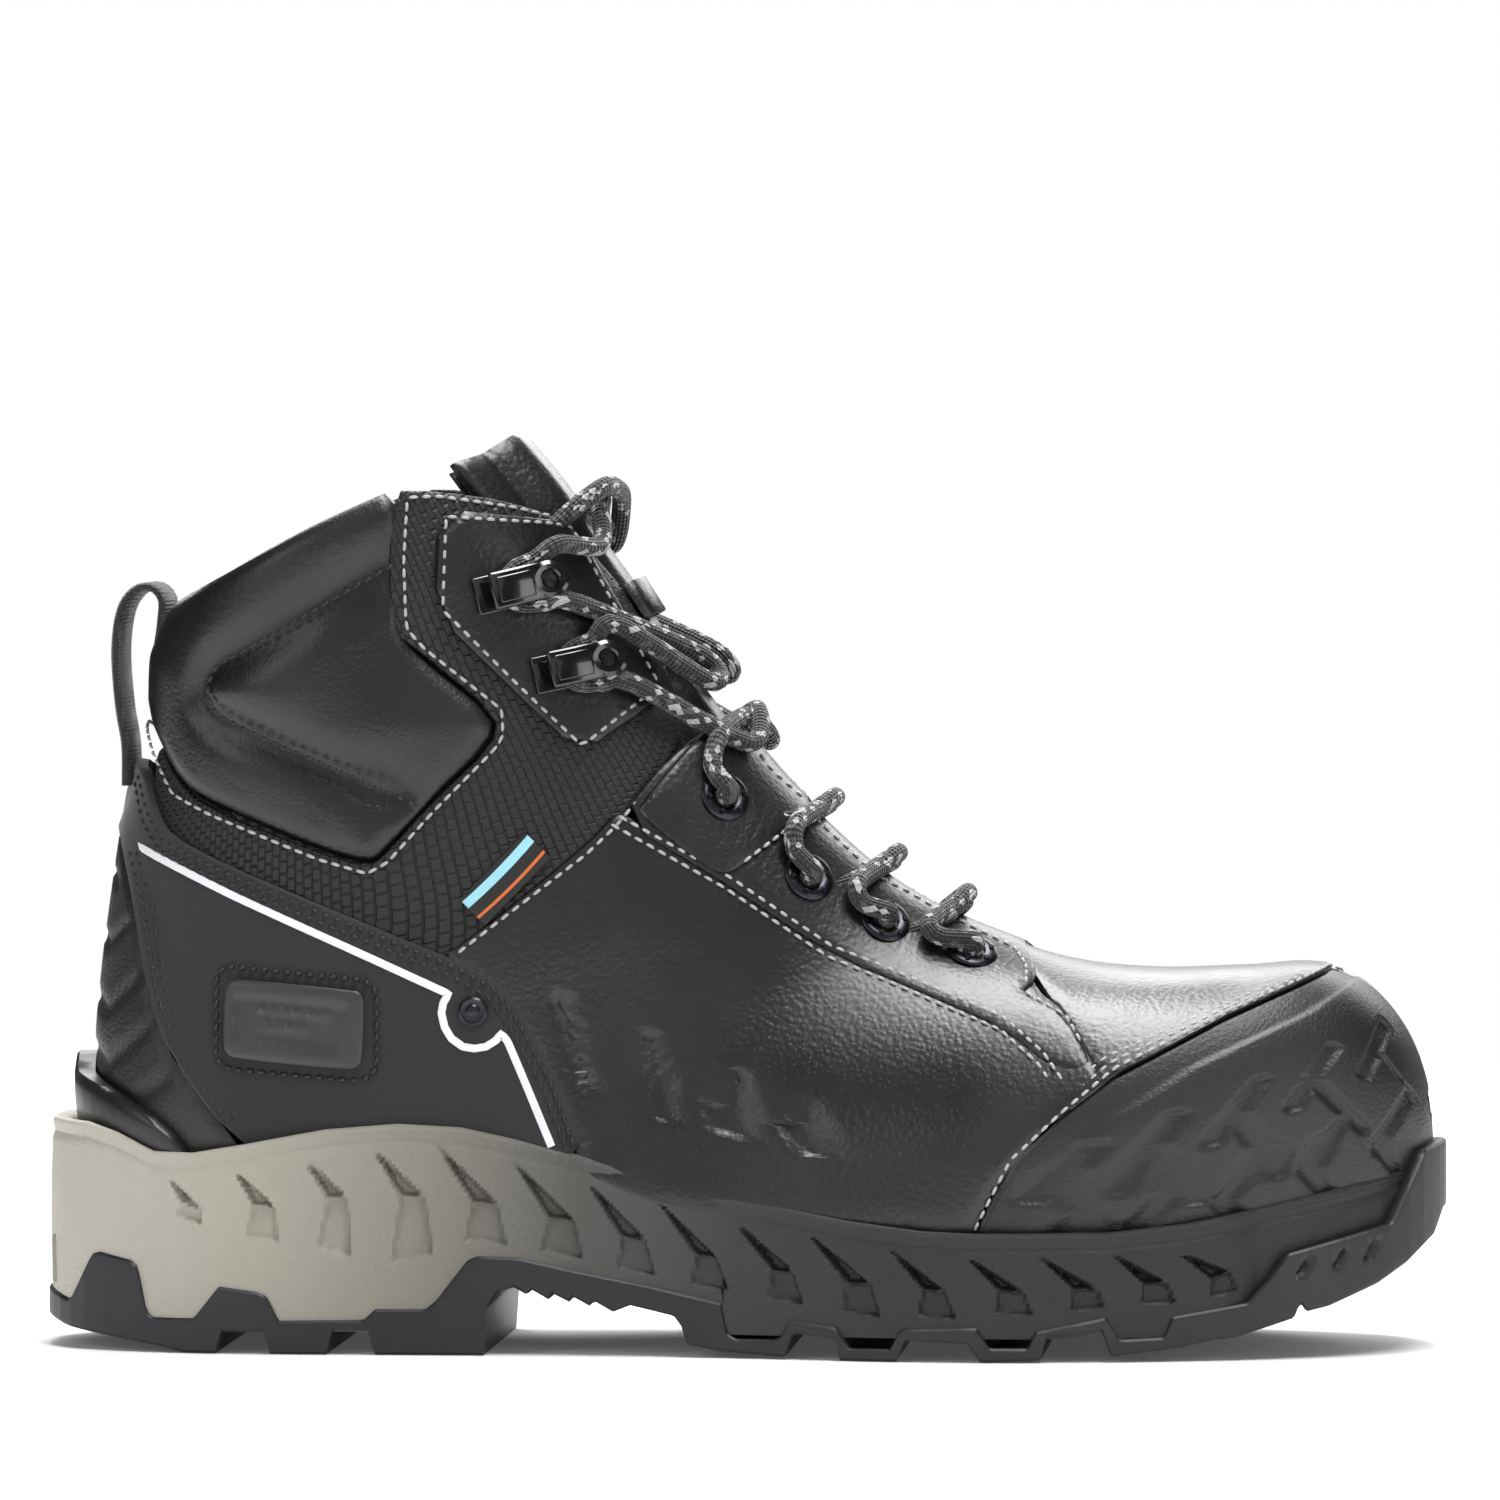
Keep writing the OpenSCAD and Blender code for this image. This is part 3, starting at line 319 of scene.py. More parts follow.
# %% Textiles
ankle_textile, tree, shader = finish_named("embossed_ankle_textile")
cloth_place = node(tree, "UVMap").outputs["UV"]
pads = node(tree, "Mapping", {"Vector": cloth_place, "Scale": (1 / 1.7, 1 / 1.3, 1.0)})
brick = node(tree, "TexBrick", {"Vector": pads.outputs[0], "Color1": (1, 1, 1, 1),
                                "Color2": (1, 1, 1, 1), "Mortar": (0, 0, 0, 1), "Scale": 1.0,
                                "Mortar Size": 0.13, "Mortar Smooth": 0.9, "Brick Width": 1.0,
                                "Row Height": 1.0})
weave = node(tree, "TexNoise", {"Vector": cloth_place, "Scale": 1.6, "Detail": 3.0})
height = node(tree, "Math", {0: weave.outputs["Fac"], 1: 0.25, 2: brick.outputs["Color"]},
              operation="MULTIPLY_ADD")
raise_surface(tree, shader, height.outputs[0], 0.55)
# Painted shade: the pads are painted lighter and the grooves between them darker, keyed on the same
# brick pattern as the bump.
tree.links.new(blend_colours(tree, brick.outputs["Color"], "#0d0d0e", "#1a1a1b"),
               shader.inputs["Base Color"])
shader.inputs["Roughness"].default_value = 0.5


def woven_finish(name, dark, light, thread_mm, depth_mm, roughness=0.85):
    """Threads over and under, from two crossed waves on the piece's Object coordinates."""
    material, tree, shader = finish_named(name)
    place = node(tree, "TexCoord").outputs["Object"]
    waves = [node(tree, "TexWave", {"Vector": place, "Scale": 0.314 / (thread_mm * MM),
                                    "Distortion": 0.6, "Detail": 1.0},
                  bands_direction=way).outputs["Fac"] for way in ("X", "Z")]
    cross = node(tree, "Math", {0: waves[0], 1: waves[1]}, operation="MULTIPLY")
    fuzz = node(tree, "TexNoise", {"Vector": place, "Scale": 900.0, "Detail": 3.0})
    mixed = node(tree, "Math", {0: fuzz.outputs["Fac"], 1: 0.5, 2: cross.outputs[0]},
                 operation="MULTIPLY_ADD")
    # Colour follows the same relief as the bump: the hollows between crossing threads are painted
    # darker as painted shade, and the fuzz noise adds random tone.
    tree.links.new(blend_colours(tree, mixed.outputs[0], dark, light, 0.1, 1.1),
                   shader.inputs["Base Color"])
    raise_surface(tree, shader, mixed.outputs[0], depth_mm)
    shader.inputs["Roughness"].default_value = roughness
    shader.inputs["Sheen Weight"].default_value = 0.2
    return material


# Knitted spacer mesh of the lining: soft, dark and dull
lining_mesh = woven_finish("knitted_lining", "#1c1c1e", "#343437", 1.4, 0.25)
# Brushed polyester over the footbed's foam
footbed_cloth = woven_finish("footbed_cloth", "#2a2b2d", "#4a4b4e", 1.2, 0.2)
# Polyester webbing of the loops: flat ribs
webbing = woven_finish("polyester_webbing", "#101011", "#222224", 0.9, 0.2, 0.7)
# Woven satin of the tag, in generic stripes
tag_satin, tree, shader = finish_named("woven_tag")
place = node(tree, "UVMap").outputs["UV"]
across_tag = node(tree, "SeparateXYZ", {0: place}).outputs["Y"]
bands = node(tree, "ValToRGB", {"Fac": across_tag})
bands.color_ramp.interpolation = "CONSTANT"
stops = bands.color_ramp.elements
stops[0].position, stops[0].color = 0.0, linear("#151516")
stops[1].position, stops[1].color = 0.10, linear("#96d0de")
for spot, colour in ((0.34, "#151516"), (0.66, "#c9652b"), (0.74, "#151516")):
    stops.new(spot).color = linear(colour)
tree.links.new(bands.outputs["Color"], shader.inputs["Base Color"])
satin = node(tree, "TexNoise", {"Vector": node(tree, "TexCoord").outputs["Object"],
                                "Scale": 2500.0})
raise_surface(tree, shader, satin.outputs["Fac"], 0.06)
shader.inputs["Roughness"].default_value = 0.55
print("textiles", ankle_textile.name, lining_mesh.name, webbing.name, tag_satin.name)

# %% [markdown]
# Metal and the small trim: eyelets in gunmetal plating, hooks in gloss enamel over steel, sewing
# thread with a light twist, and the white piping.

# %% Metal, thread and trim
def metal_finish(name, colour, roughness, metallic=1.0):
    material, tree, shader = finish_named(name)
    place = node(tree, "TexCoord").outputs["Object"]
    scuff = node(tree, "TexNoise", {"Vector": place, "Scale": 700.0, "Detail": 3.0})
    rough = node(tree, "MapRange", {"Value": scuff.outputs["Fac"], "To Min": roughness - 0.06,
                                    "To Max": roughness + 0.1})
    tree.links.new(rough.outputs[0], shader.inputs["Roughness"])
    shader.inputs["Base Color"].default_value = linear(colour)
    shader.inputs["Metallic"].default_value = metallic
    return material


# Gunmetal plating: a dark grey mirror, dulled by handling
gunmetal = metal_finish("gunmetal_plate", "#3a3b3f", 0.3)
# Baked black enamel, glossy, over pressed steel
hook_enamel = metal_finish("black_enamel", "#0c0c0d", 0.16, 0.0)
hook_enamel.node_tree.nodes["Principled BSDF"].inputs["Coat Weight"].default_value = 0.6
# Spring steel strip
shank_steel = metal_finish("spring_steel", "#8f9094", 0.35)


def plain_finish(name, colour, roughness, grain_mm=0.4, depth_mm=0.05):
    material, tree, shader = finish_named(name)
    place = node(tree, "TexCoord").outputs["Object"]
    grain = node(tree, "TexNoise", {"Vector": place, "Scale": 1 / (grain_mm * MM), "Detail": 2.0})
    raise_surface(tree, shader, grain.outputs["Fac"], depth_mm)
    shader.inputs["Base Color"].default_value = linear(colour)
    shader.inputs["Roughness"].default_value = roughness
    return material


# Bonded nylon thread in grey, and in black where it should not show
pale_thread = plain_finish("grey_nylon_thread", "#a6a6a8", 0.5)
dark_thread = plain_finish("black_nylon_thread", "#1a1a1b", 0.5)
# Soft PVC piping in white
white_piping = plain_finish("white_piping", "#e6e6ea", 0.45)
# Pressed cellulose board, glass-fibre composite and the counter's fibreboard
board_pulp = plain_finish("cellulose_board", "#8b7a5c", 0.9, 0.8, 0.1)
cap_composite = plain_finish("glass_fibre_composite", "#39403a", 0.45, 1.5, 0.04)
counter_pulp = plain_finish("counter_fibreboard", "#6f6350", 0.9, 0.8, 0.1)
print("metal", gunmetal.name, hook_enamel.name, "thread", pale_thread.name)

# %% [markdown]
# Every CAD node first gets its own finish, so nothing is ever bare. Pieces made below replace the
# plain ones.

# %% Finishes of the CAD nodes
FINISH_OF_SLOT = {
    "outsole_rubber": outsole_rubber, "midsole_foam": midsole_foam,
    "stabilizer_plastic": clip_plastic, "patch_plastic": olive_foam, "shank_steel": shank_steel,
    "insole_board": board_pulp, "footbed_fabric": footbed_cloth, "cap_composite": cap_composite,
    "counter_board": counter_pulp, "lining_fabric": lining_mesh, "full_grain_leather": full_grain,
    "guard_rubber": guard_rubber, "ankle_textile": ankle_textile, "collar_leather": collar_leather,
    "nubuck": nubuck, "piping_white": white_piping, "badge_rubber": badge_rubber,
    "gunmetal": gunmetal, "tag_fabric": tag_satin, "webbing": webbing,
    "tongue_leather": full_grain, "hook_enamel": hook_enamel, "lace_braid": webbing}
for part in frame["record"]["subparts"]:
    mesh = frame["nodes"][part["node"]].data
    mesh.materials.clear()
    mesh.materials.append(FINISH_OF_SLOT[part["material_slot"]])
print("finishes", len(FINISH_OF_SLOT))

# %% [markdown]
# A panel is leather or rubber cut to an outline and pulled over the last. Here its outline is drawn
# in the side view, laid flat in ring and angle, filled with triangles by a constrained Delaunay
# step, and carried back to the surface. Plain operators can't wrap a cut outline on a foot, so the
# panels are the one family made in mesh code. Edges are rounded by lowering the points near them.

# %% Helpers for lines on the last
RING_MM, ANGLE_MM = 8.5, 0.8


def along(points, step, closed=True):
    p = np.asarray(points, float)
    ends = np.vstack([p[1:], p[:1]]) if closed else p[1:]
    out = []
    for a, b in zip(p, ends):
        n = max(1, int(round(float(np.linalg.norm(b - a)) / step)))
        out += [a + (b - a) * k / n for k in range(n)]
    return np.array(out if closed else out + [p[-1]])


def rounded(points, times=2, closed=True):
    """Cuts the corners of an outline, twice for a soft corner."""
    p = np.asarray(points, float)
    for _ in range(times):
        q = np.roll(p, -1, axis=0)
        cut = np.stack([0.75 * p + 0.25 * q, 0.25 * p + 0.75 * q], 1).reshape(-1, p.shape[1])
        p = cut if closed else np.vstack([p[:1], cut[1:-3], p[-1:]])
    return p


def laid_flat(points, side=-1):
    u, a = locate(points)
    return np.stack([u * RING_MM, side * a * ANGLE_MM], -1)


def cut_out(points, side, corners, step):
    """A drawn outline with softened corners, laid flat for one side."""
    return laid_flat(along(rounded(points, corners), step), side)


def distance_to(points, line, closed=True):
    """How far each point is from a line, in the same flat mm."""
    a = line if closed else line[:-1]
    b = np.roll(line, -1, axis=0) if closed else line[1:]
    d = b - a
    best = np.full(len(points), 1e9)
    for lo in range(0, len(points), 4000):
        p = points[lo:lo + 4000, None, :]
        t = np.clip(((p - a) * d).sum(-1) / np.maximum((d * d).sum(-1), 1e-9), 0, 1)
        best[lo:lo + 4000] = np.linalg.norm(p - a - d * t[..., None], axis=-1).min(1)
    return best


def within(points, outline):
    x, y = points[:, 0], points[:, 1]
    inside = np.zeros(len(points), bool)
    for (ax, ay), (bx, by) in zip(outline, np.roll(outline, -1, axis=0)):
        crosses = (ay > y) != (by > y)
        inside ^= crosses & (x < (bx - ax) * (y - ay) / (by - ay + 1e-12) + ax)
    return inside


def new_piece(name, vertices, faces, finish, body="boot", node_names=(), slot=None, smooth=40):
    """A mesh object from points in mm, with its finish, riding on its body."""
    mesh = bpy.data.meshes.new(name)
    mesh.from_pydata((np.asarray(vertices) * MM).tolist(), [], faces)
    mesh.validate()
    made = bpy.data.objects.new(name, mesh)
    bpy.context.collection.objects.link(made)
    mesh.materials.append(finish)
    settle(made, body, node_names, slot, smooth)
    return made


def settle(made, body="boot", node_names=(), slot=None, smooth=40):
    """Rides and replaces a piece, and smooths its shading by angle."""
    bpy.ops.object.select_all(action="DESELECT")
    made.select_set(True)
    bpy.context.view_layer.objects.active = made
    bpy.ops.object.shade_smooth_by_angle(angle=math.radians(smooth))
    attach(made, body)
    if node_names:
        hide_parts(*node_names)
        part = next(p for p in frame["record"]["subparts"] if p["node"] == node_names[0])
        slot = slot or part["material_slot"]


def tube_faces(rings_made, points):
    """Quads between successive rings of the same number of points."""
    return [[i * points + j, i * points + (j + 1) % points,
             (i + 1) * points + (j + 1) % points, (i + 1) * points + j]
            for i in range(rings_made - 1) for j in range(points)]


def tube_ends(rings_made, points):
    return [list(range(points))[::-1], list(range((rings_made - 1) * points, rings_made * points))]


def face_outward(made, merge=False):
    """Turns a closed piece's faces outward, after merging doubles when asked."""
    mend = bmesh.new()
    mend.from_mesh(made.data)
    if merge:
        bmesh.ops.remove_doubles(mend, verts=mend.verts, dist=1e-6)
    bmesh.ops.recalc_face_normals(mend, faces=mend.faces)
    mend.to_mesh(made.data)
    mend.free()


print("flat helpers ready")

# %% Helper for panels
def panel(name, outline, low, high, finish, edge=0.8, grid=1.6, relief=None, **riding):
    """A panel from offset low to offset high, over an outline in flat ring and angle mm.
    relief(flat points, distance to the edge) adds to the outer face, in mm."""
    rim = along(outline, min(grid, 1.6))
    lo, hi = rim.min(0), rim.max(0)
    gx, gy = np.meshgrid(np.arange(lo[0], hi[0], grid), np.arange(lo[1], hi[1], grid * 0.87))
    gx = gx + (np.arange(gx.shape[0]) % 2)[:, None] * grid / 2
    field = np.stack([gx.ravel(), gy.ravel()], -1)
    step = np.roll(rim, -1, axis=0) - np.roll(rim, 1, axis=0)
    inward = np.stack([-step[:, 1], step[:, 0]], -1) / np.linalg.norm(step, axis=1, keepdims=True)
    if not within(rim[:1] + inward[:1] * 0.05, rim)[0]:
        inward = -inward
    rows = [rim + inward * edge * f for f in (0.3, 1.0)]

    def clear(points, least):
        return points[within(points, rim) & (distance_to(points, rim) > least)]

    inner = [clear(row, edge * f * 0.9) for row, f in zip(rows, (0.3, 1.0))]
    inner.append(clear(field, edge + grid * 0.4))
    flat = np.vstack([rim] + inner)
    edges = [(k, (k + 1) % len(rim)) for k in range(len(rim))]
    points, _, tris, *_ = delaunay_2d_cdt([Vector(p) for p in flat], edges, [], 0, 1e-4)
    flat = np.array([tuple(p) for p in points])
    tris = np.array([tuple(t) for t in tris])
    tris = tris[within(flat[tris].mean(1), rim)]
    away = distance_to(flat, rim)
    drop = np.where(away < edge, edge - np.sqrt(np.maximum(edge ** 2 - (edge - away) ** 2, 0)), 0)
    lift = relief(flat, away) if relief is not None else 0.0
    u, a = flat[:, 0] / RING_MM, flat[:, 1] / ANGLE_MM
    top = skin(u, a, np.maximum(high - drop * min(1.0, (high - low) / edge * 0.9) + lift,
                                low + 0.1))
    t = top[tris]
    face_way = np.cross(t[:, 1] - t[:, 0], t[:, 2] - t[:, 0])
    if (face_way * last_normals(u, a)[tris[:, 0]]).sum() < 0:
        tris = tris[:, ::-1]
    n = len(flat)
    under = skin(u, a, np.full(n, float(low)))
    sides = dict.fromkeys(e for p, q, r in tris for e in ((p, q), (q, r), (r, p)))
    faces = tris.tolist() + (tris[:, ::-1] + n).tolist()
    faces += [[q, p, p + n, q + n] for (p, q) in sides if (q, p) not in sides]
    made = new_piece(name, np.vstack([top, under]), faces, finish, **riding)
    layer = made.data.uv_layers.new(name="UVMap")
    uv = np.tile(flat, (2, 1))
    corner = np.zeros(len(made.data.loops), np.int64)
    made.data.loops.foreach_get("vertex_index", corner)
    layer.data.foreach_set("uv", uv[corner].ravel().astype(np.float32))
    print(name, "triangles", len(tris) * 2)
    return made


def mirrored(outline):
    return np.asarray(outline) * (1, -1)


SIDES = (("lateral", -1), ("medial", 1))
# Inner and outer face of every layer, in mm off the last
LAYERS = {
    "ankle textile": (-1.6, -0.1), "ankle backing": (-2.8, -1.7), "quarter": (-1.4, 1.0),
    "vamp": (-1.6, 0.8), "toe guard": (0.4, 1.9), "eyestay": (0.6, 1.75),
    "eyelet tab": (1.4, 2.6), "hook panel": (0.1, 1.7), "heel panel": (-1.3, 1.5),
    "heel guard": (0.4, 2.5), "lining": (-6.4, -5.0), "vamp lining": (-7.8, -6.5),
    "heel clip": (2.7, 4.0), "piping": (1.1, 1.85), "badge": (1.2, 3.3), "tag": (0.3, 0.9)}

# %% [markdown]
# The upper is layered as a cutter would lay it. The embossed textile goes lowest, then the vamp and
# the quarters, then the nubuck heel panels, and the eyestays and hook panels on top. Outlines are
# side-view places in mm, drawn once for the outer side and turned over for the inner one.

# %% Ankle textile and quarters
ANKLE = [(-130.8, 120.8), (-129.7, 135.3), (-125.3, 126.4), (-118.6, 120.2), (-91.9, 110.1),
     (-81, 107), (-77, 109.7), (-67.6, 120.4), (-53.4, 133.7), (-52.5, 140.4), (-69.4, 154.2),
     (-76, 159.1), (-75.6, 189.8), (-65.4, 189.8), (-49.4, 187.6), (-38.7, 183.3), (-24, 165.3),
     (-12.9, 143.1), (-12.5, 132.4), (-24, 118.1), (-32.9, 109.7), (-55.2, 87.4), (-64.1, 81.9),
     (-93, 95.2), (-126.4, 109.7), (-133.1, 117.5)]
QUARTER = [(-65.2, 87.9), (-60.1, 89.7), (-32.9, 111.9), (-26.5, 119), (-23.6, 118.1),
     (-2.4, 104.8), (4.9, 120.8), (13.6, 118.4), (28.7, 104.6), (35.2, 101), (43.6, 96.1),
     (52.3, 92.1), (60.7, 88.6), (65, 84.8), (65.6, 79.9), (73.4, 74.8), (79.7, 65.2),
     (81.2, 60.3), (70.8, 52.3), (61.9, 42.9), (55.6, 34), (52.5, 24.7), (24.9, 24.7),
     (-32.9, 36.3), (-35.2, 47.4), (-41.8, 63), (-50.7, 76.3)]
BARS = [
    [(-40.7, 80.1), (-36, 78.5), (-28.5, 56.5), (-34.3, 58.1)],
    [(-21.4, 71.9), (-16, 70.1), (-10.7, 50.1), (-18.7, 51.8)],
    [(-1.3, 63.4), (2.7, 62.5), (7.8, 45.8), (-5.8, 49.6), (-10, 58.5), (-4, 55)],
    [(12.9, 58.1), (17.4, 55.8), (25.4, 42.9), (14.2, 44.5), (7.1, 51.8), (12.9, 51.4)]]


def pressed_bars(flat, away, side):
    """The slanted bars pressed into the leather, and its rise over the edge of the toe guard."""
    lift = np.zeros(len(flat))
    for bar in BARS:
        line = along(laid_flat(along(bar, 2.0), side), 1.0)
        depth = np.clip(distance_to(flat, line) / 0.6, 0, 1) * within(flat, line)
        lift -= 1.3 * depth
    hem = laid_flat(along(GUARD_HEM, 2.0, closed=False), side)
    near = distance_to(flat, hem, closed=False)
    return lift + 1.9 * np.clip(1 - near / 9, 0, 1) ** 1.6


GUARD_HEM = [(134.4, 85.7), (132.6, 83.7), (107.9, 73.4), (84.8, 61.9), (73.4, 53.6),
     (62.5, 43.8), (55.2, 28.9), (53.8, 22.9)]
for side_name, side in SIDES:
    panel("ankle_textile_" + side_name, cut_out(ANKLE, side, 1, 1.5), *LAYERS["ankle textile"],
          ankle_textile, grid=2.2, node_names=("ankle_panel_" + side_name,))
    panel("ankle_backing_" + side_name, cut_out(ANKLE, side, 1, 1.5), *LAYERS["ankle backing"],
          lining_mesh, grid=2.6, slot="lining_fabric")
    panel("quarter_" + side_name, cut_out(QUARTER, side, 1, 1.3), *LAYERS["quarter"], full_grain,
          edge=0.9, grid=0.8, relief=lambda flat, away, side=side: pressed_bars(flat, away, side),
          node_names=("quarter_" + side_name,))

# %% [markdown]
# The vamp is one piece over the toes, so its outline runs down one side, over the top and up the
# other. Near the toe guard it rises over the rubber's thin flange and ends in a raw cut edge.

# %% Vamp and toe guard
VAMP_BACK = [(56.1, 91.9), (63.9, 84.1), (72.8, 73), (78.3, 63), (69.4, 48.5), (58.3, 36.3),
     (52.5, 24)]


def over_the_top(lines):
    """Joins a side-view line of the outer side to the same line of the inner side."""
    half = laid_flat(along(lines, 1.5, closed=False), -1)
    return np.vstack([half[::-1], mirrored(half)])


back_line = over_the_top(VAMP_BACK)
hem_line = over_the_top(GUARD_HEM)


def vamp_rise(flat, away):
    near = distance_to(flat, hem_line, closed=False)
    return 1.9 * np.clip(1 - near / 10, 0, 1) ** 1.6


panel("vamp_leather", np.vstack([back_line, hem_line[::-1]]), *LAYERS["vamp"], full_grain, edge=0.8,
      relief=vamp_rise, node_names=("vamp",))

GROOVES = [
    [(130.2, 67.2), (121.9, 55.2)], [(125.5, 61), (136.4, 50.3)], [(133.1, 52.5), (124.4, 42.1),
     (129.3, 35.2)],
    [(114.6, 60.5), (104.6, 48.3)], [(109, 53.6), (119, 42.1)], [(115.3, 44.5), (106.4, 34.7),
     (109.9, 30.5)],
    [(96.8, 53.2), (86.1, 41.6)], [(91.4, 46.9), (100.8, 35.2)], [(97.7, 38.5), (87.7, 28.5)],
    [(78.8, 46.7), (66.8, 36)], [(71.6, 40), (81.2, 28.5)], [(77.9, 32.3), (74.1, 28.5)],
    [(140.8, 71), (136.6, 61)], [(139.1, 66.1), (147.3, 55.2)], [(145.7, 56.1), (139.5, 46.9),
     (143.7, 38.7)],
    [(150.2, 59.4), (149.5, 52.7)]]
BAND = [(136.6, 82.1), (135.1, 80.8), (124.4, 74.3), (99.7, 63.4), (83.2, 53.6), (70.8, 44.5),
     (62.5, 34.7), (59, 25.1)]
groove_lines = [laid_flat(along(g, 1.0, closed=False), s) for g in GROOVES for s in (-1, 1)]
band_line = over_the_top(BAND)


def guard_relief(flat, away):
    """Grooves, and the step from the smooth flange up to the grained field."""
    lift = np.zeros(len(flat))
    for line in groove_lines:
        near = distance_to(flat, line, closed=False)
        lift = np.minimum(lift, -1.1 * np.clip((1.5 - near) / 0.7, 0, 1))
    step = distance_to(flat, band_line, closed=False)
    field = within(flat, np.vstack([band_line, [[LAST_RING * RING_MM + 9, 200],
                                                [LAST_RING * RING_MM + 9, -200]]]))
    rise = np.where(field, np.clip(step / 1.1, 0, 1), 0.0)
    return lift + 0.75 * rise


GUARD_FOOT = [(154, 46.3), (150.6, 40.7), (145.1, 38), (132.6, 34.5), (116.1, 30.9),
     (99.7, 28.3), (83.2, 26.5), (56.1, 26), (52.7, 26.9)]
foot_half = laid_flat(along(GUARD_FOOT, 1.5, closed=False), -1)
tip_row = np.stack([np.full(9, foot_half[0, 0]),
                    np.linspace(foot_half[0, 1], -foot_half[0, 1], 9)], -1)
guard_hem_low = over_the_top([(x - 1.6, z - 1.2) for x, z in GUARD_HEM])
guard_outline = np.vstack([guard_hem_low, mirrored(foot_half)[::-1][1:], tip_row[::-1][1:-1],
                           foot_half[:-1]])
panel("toe_guard", guard_outline, *LAYERS["toe guard"], guard_rubber, edge=0.6, grid=0.62,
      relief=guard_relief, node_names=("toe_guard",), smooth=50)

# %% [markdown]
# The eyestay is the doubled strip that carries the eyelets, with a rounded tab over its top end.
# The hook panel is cut from the same hide, and both are sewn on flat, so thin panels are enough.

# %% Eyestays and hook panels
STAY = [(-15.1, 131.5), (-6.7, 137.3), (-2.4, 136.8), (5.3, 127.3), (11.6, 120.8), (13.6, 118.4),
     (22.7, 110.4), (28.7, 105.2), (35.2, 101.7), (43.6, 96.8), (52.3, 92.8), (60.7, 89.2),
     (64.5, 85.7), (65.9, 80.8), (62.7, 78.1), (73.4, 74.5), (81, 60.3), (69.4, 63.9),
     (59.4, 71), (45.2, 76.8), (20.2, 87), (-2.4, 102.6), (-26.5, 117.3)]
TAB = [(-21.4, 120.8), (-12.9, 131.5), (-6.7, 138.2), (-2.2, 137.7), (5.3, 128.4), (11.6, 121.7),
     (14.2, 117.7), (0.4, 106.1), (-2.7, 104.6), (-6.5, 105.7), (-22.2, 118.1)]
HOOKED = [(-65.4, 185.6), (-44.1, 183.3), (-37.8, 181.8), (-29.1, 166.4), (-16.5, 145.7),
     (-20.2, 141.5), (-34.5, 131.5), (-49.4, 145.7), (-66.3, 162.6)]
for side_name, side in SIDES:
    panel("eyestay_" + side_name, cut_out(STAY, side, 1, 1.2), *LAYERS["eyestay"], full_grain,
          edge=0.7, grid=1.6, node_names=("eyestay_" + side_name,))
    panel("eyelet_tab_" + side_name, cut_out(TAB, side, 2, 1.2), *LAYERS["eyelet tab"], full_grain,
          edge=0.8, grid=1.6, slot="full_grain_leather")
    panel("hook_panel_" + side_name, cut_out(HOOKED, side, 1, 1.2), *LAYERS["hook panel"],
          full_grain, edge=0.8, grid=1.8, node_names=("hook_panel_" + side_name,))

# %% [markdown]
# The heel panel is nubuck with a raw back edge that laps over the rubber heel guard. The guard's
# grooves make half arrowheads along both of its edges.

# %% Heel panels and heel guard
NUBUCK = [(-139.3, 131.5), (-135.3, 129.7), (-131.9, 127), (-128.6, 118.1), (-125.5, 113.3),
     (-113.3, 107.5), (-91.9, 98.8), (-70.8, 90.3), (-60.1, 86.1), (-51, 81.9), (-45.8, 73.9),
     (-38.3, 59.9), (-31.6, 42.9), (-50.7, 42.9), (-99.7, 42.9), (-110.4, 47.4), (-123.9, 64.7),
     (-129.3, 78.1), (-132.4, 97.2), (-136.2, 113), (-140.2, 118.1)]
NUBUCK_BACK = [(-140.2, 120.8), (-136.2, 113.7), (-132.4, 97.2), (-129.3, 78.1), (-123.9, 64.7),
     (-109.5, 45.6)]


def nubuck_lift(flat, away, side):
    cut = laid_flat(along(NUBUCK_BACK, 2.0, closed=False), side)
    near = distance_to(flat, cut, closed=False)
    return 1.5 * np.clip(1 - near / 7, 0, 1) ** 1.5


for side_name, side in SIDES:
    panel("heel_panel_" + side_name, cut_out(NUBUCK, side, 1, 1.3), *LAYERS["heel panel"], nubuck,
          edge=0.8, grid=1.7, relief=lambda flat, away, side=side: nubuck_lift(flat, away, side),
          node_names=("heel_panel_" + side_name,))
HEEL_GROOVES = [
    [(-141.5, 109.7), (-136.6, 102.1)], [(-142.8, 94.1), (-138.8, 88.8), (-133.9, 93.7)],
    [(-144.2, 79.7), (-138.8, 74.1), (-131.3, 81.7)], [(-144.8, 68.5), (-138.6, 62.5),
    (-128.2, 71.4)], [(-143.3, 59.6), (-133.1, 54.1), (-121, 62.5)]]
GUARD_EDGE = [(-141.5, 120.8), (-136.2, 113), (-132.4, 97.2), (-129.3, 78.1), (-123.9, 64.7),
     (-108.1, 44.3)]
half = laid_flat(along(GUARD_EDGE, 1.4, closed=False), 1)
other = half * (1, -1) + (0, 360 * ANGLE_MM)
guard_cuts = [laid_flat(along(g, 1.0, closed=False), 1) for g in HEEL_GROOVES]
guard_cuts += [cut * (1, -1) + (0, 360 * ANGLE_MM) for cut in guard_cuts]


def heel_guard_relief(flat, away):
    lift = np.zeros(len(flat))
    for cut in guard_cuts:
        near = distance_to(flat, cut, closed=False)
        lift = np.minimum(lift, -0.9 * np.clip(1 - near / 1.0, 0, 1) ** 0.6)
    return lift


panel("heel_guard", np.vstack([half, other[::-1]]), *LAYERS["heel guard"], guard_rubber, edge=0.8,
      grid=1.1, relief=heel_guard_relief, node_names=("heel_guard",), smooth=50)

# %% [markdown]
# The collar is foam in soft leather, sewn down along a V so that it folds with the ankle. It is a
# padded piece: its height grows quickly away from the edge and the seam, then flattens, the way
# foam pushes leather out between two rows of stitches. The top edge rolls over to the inside.

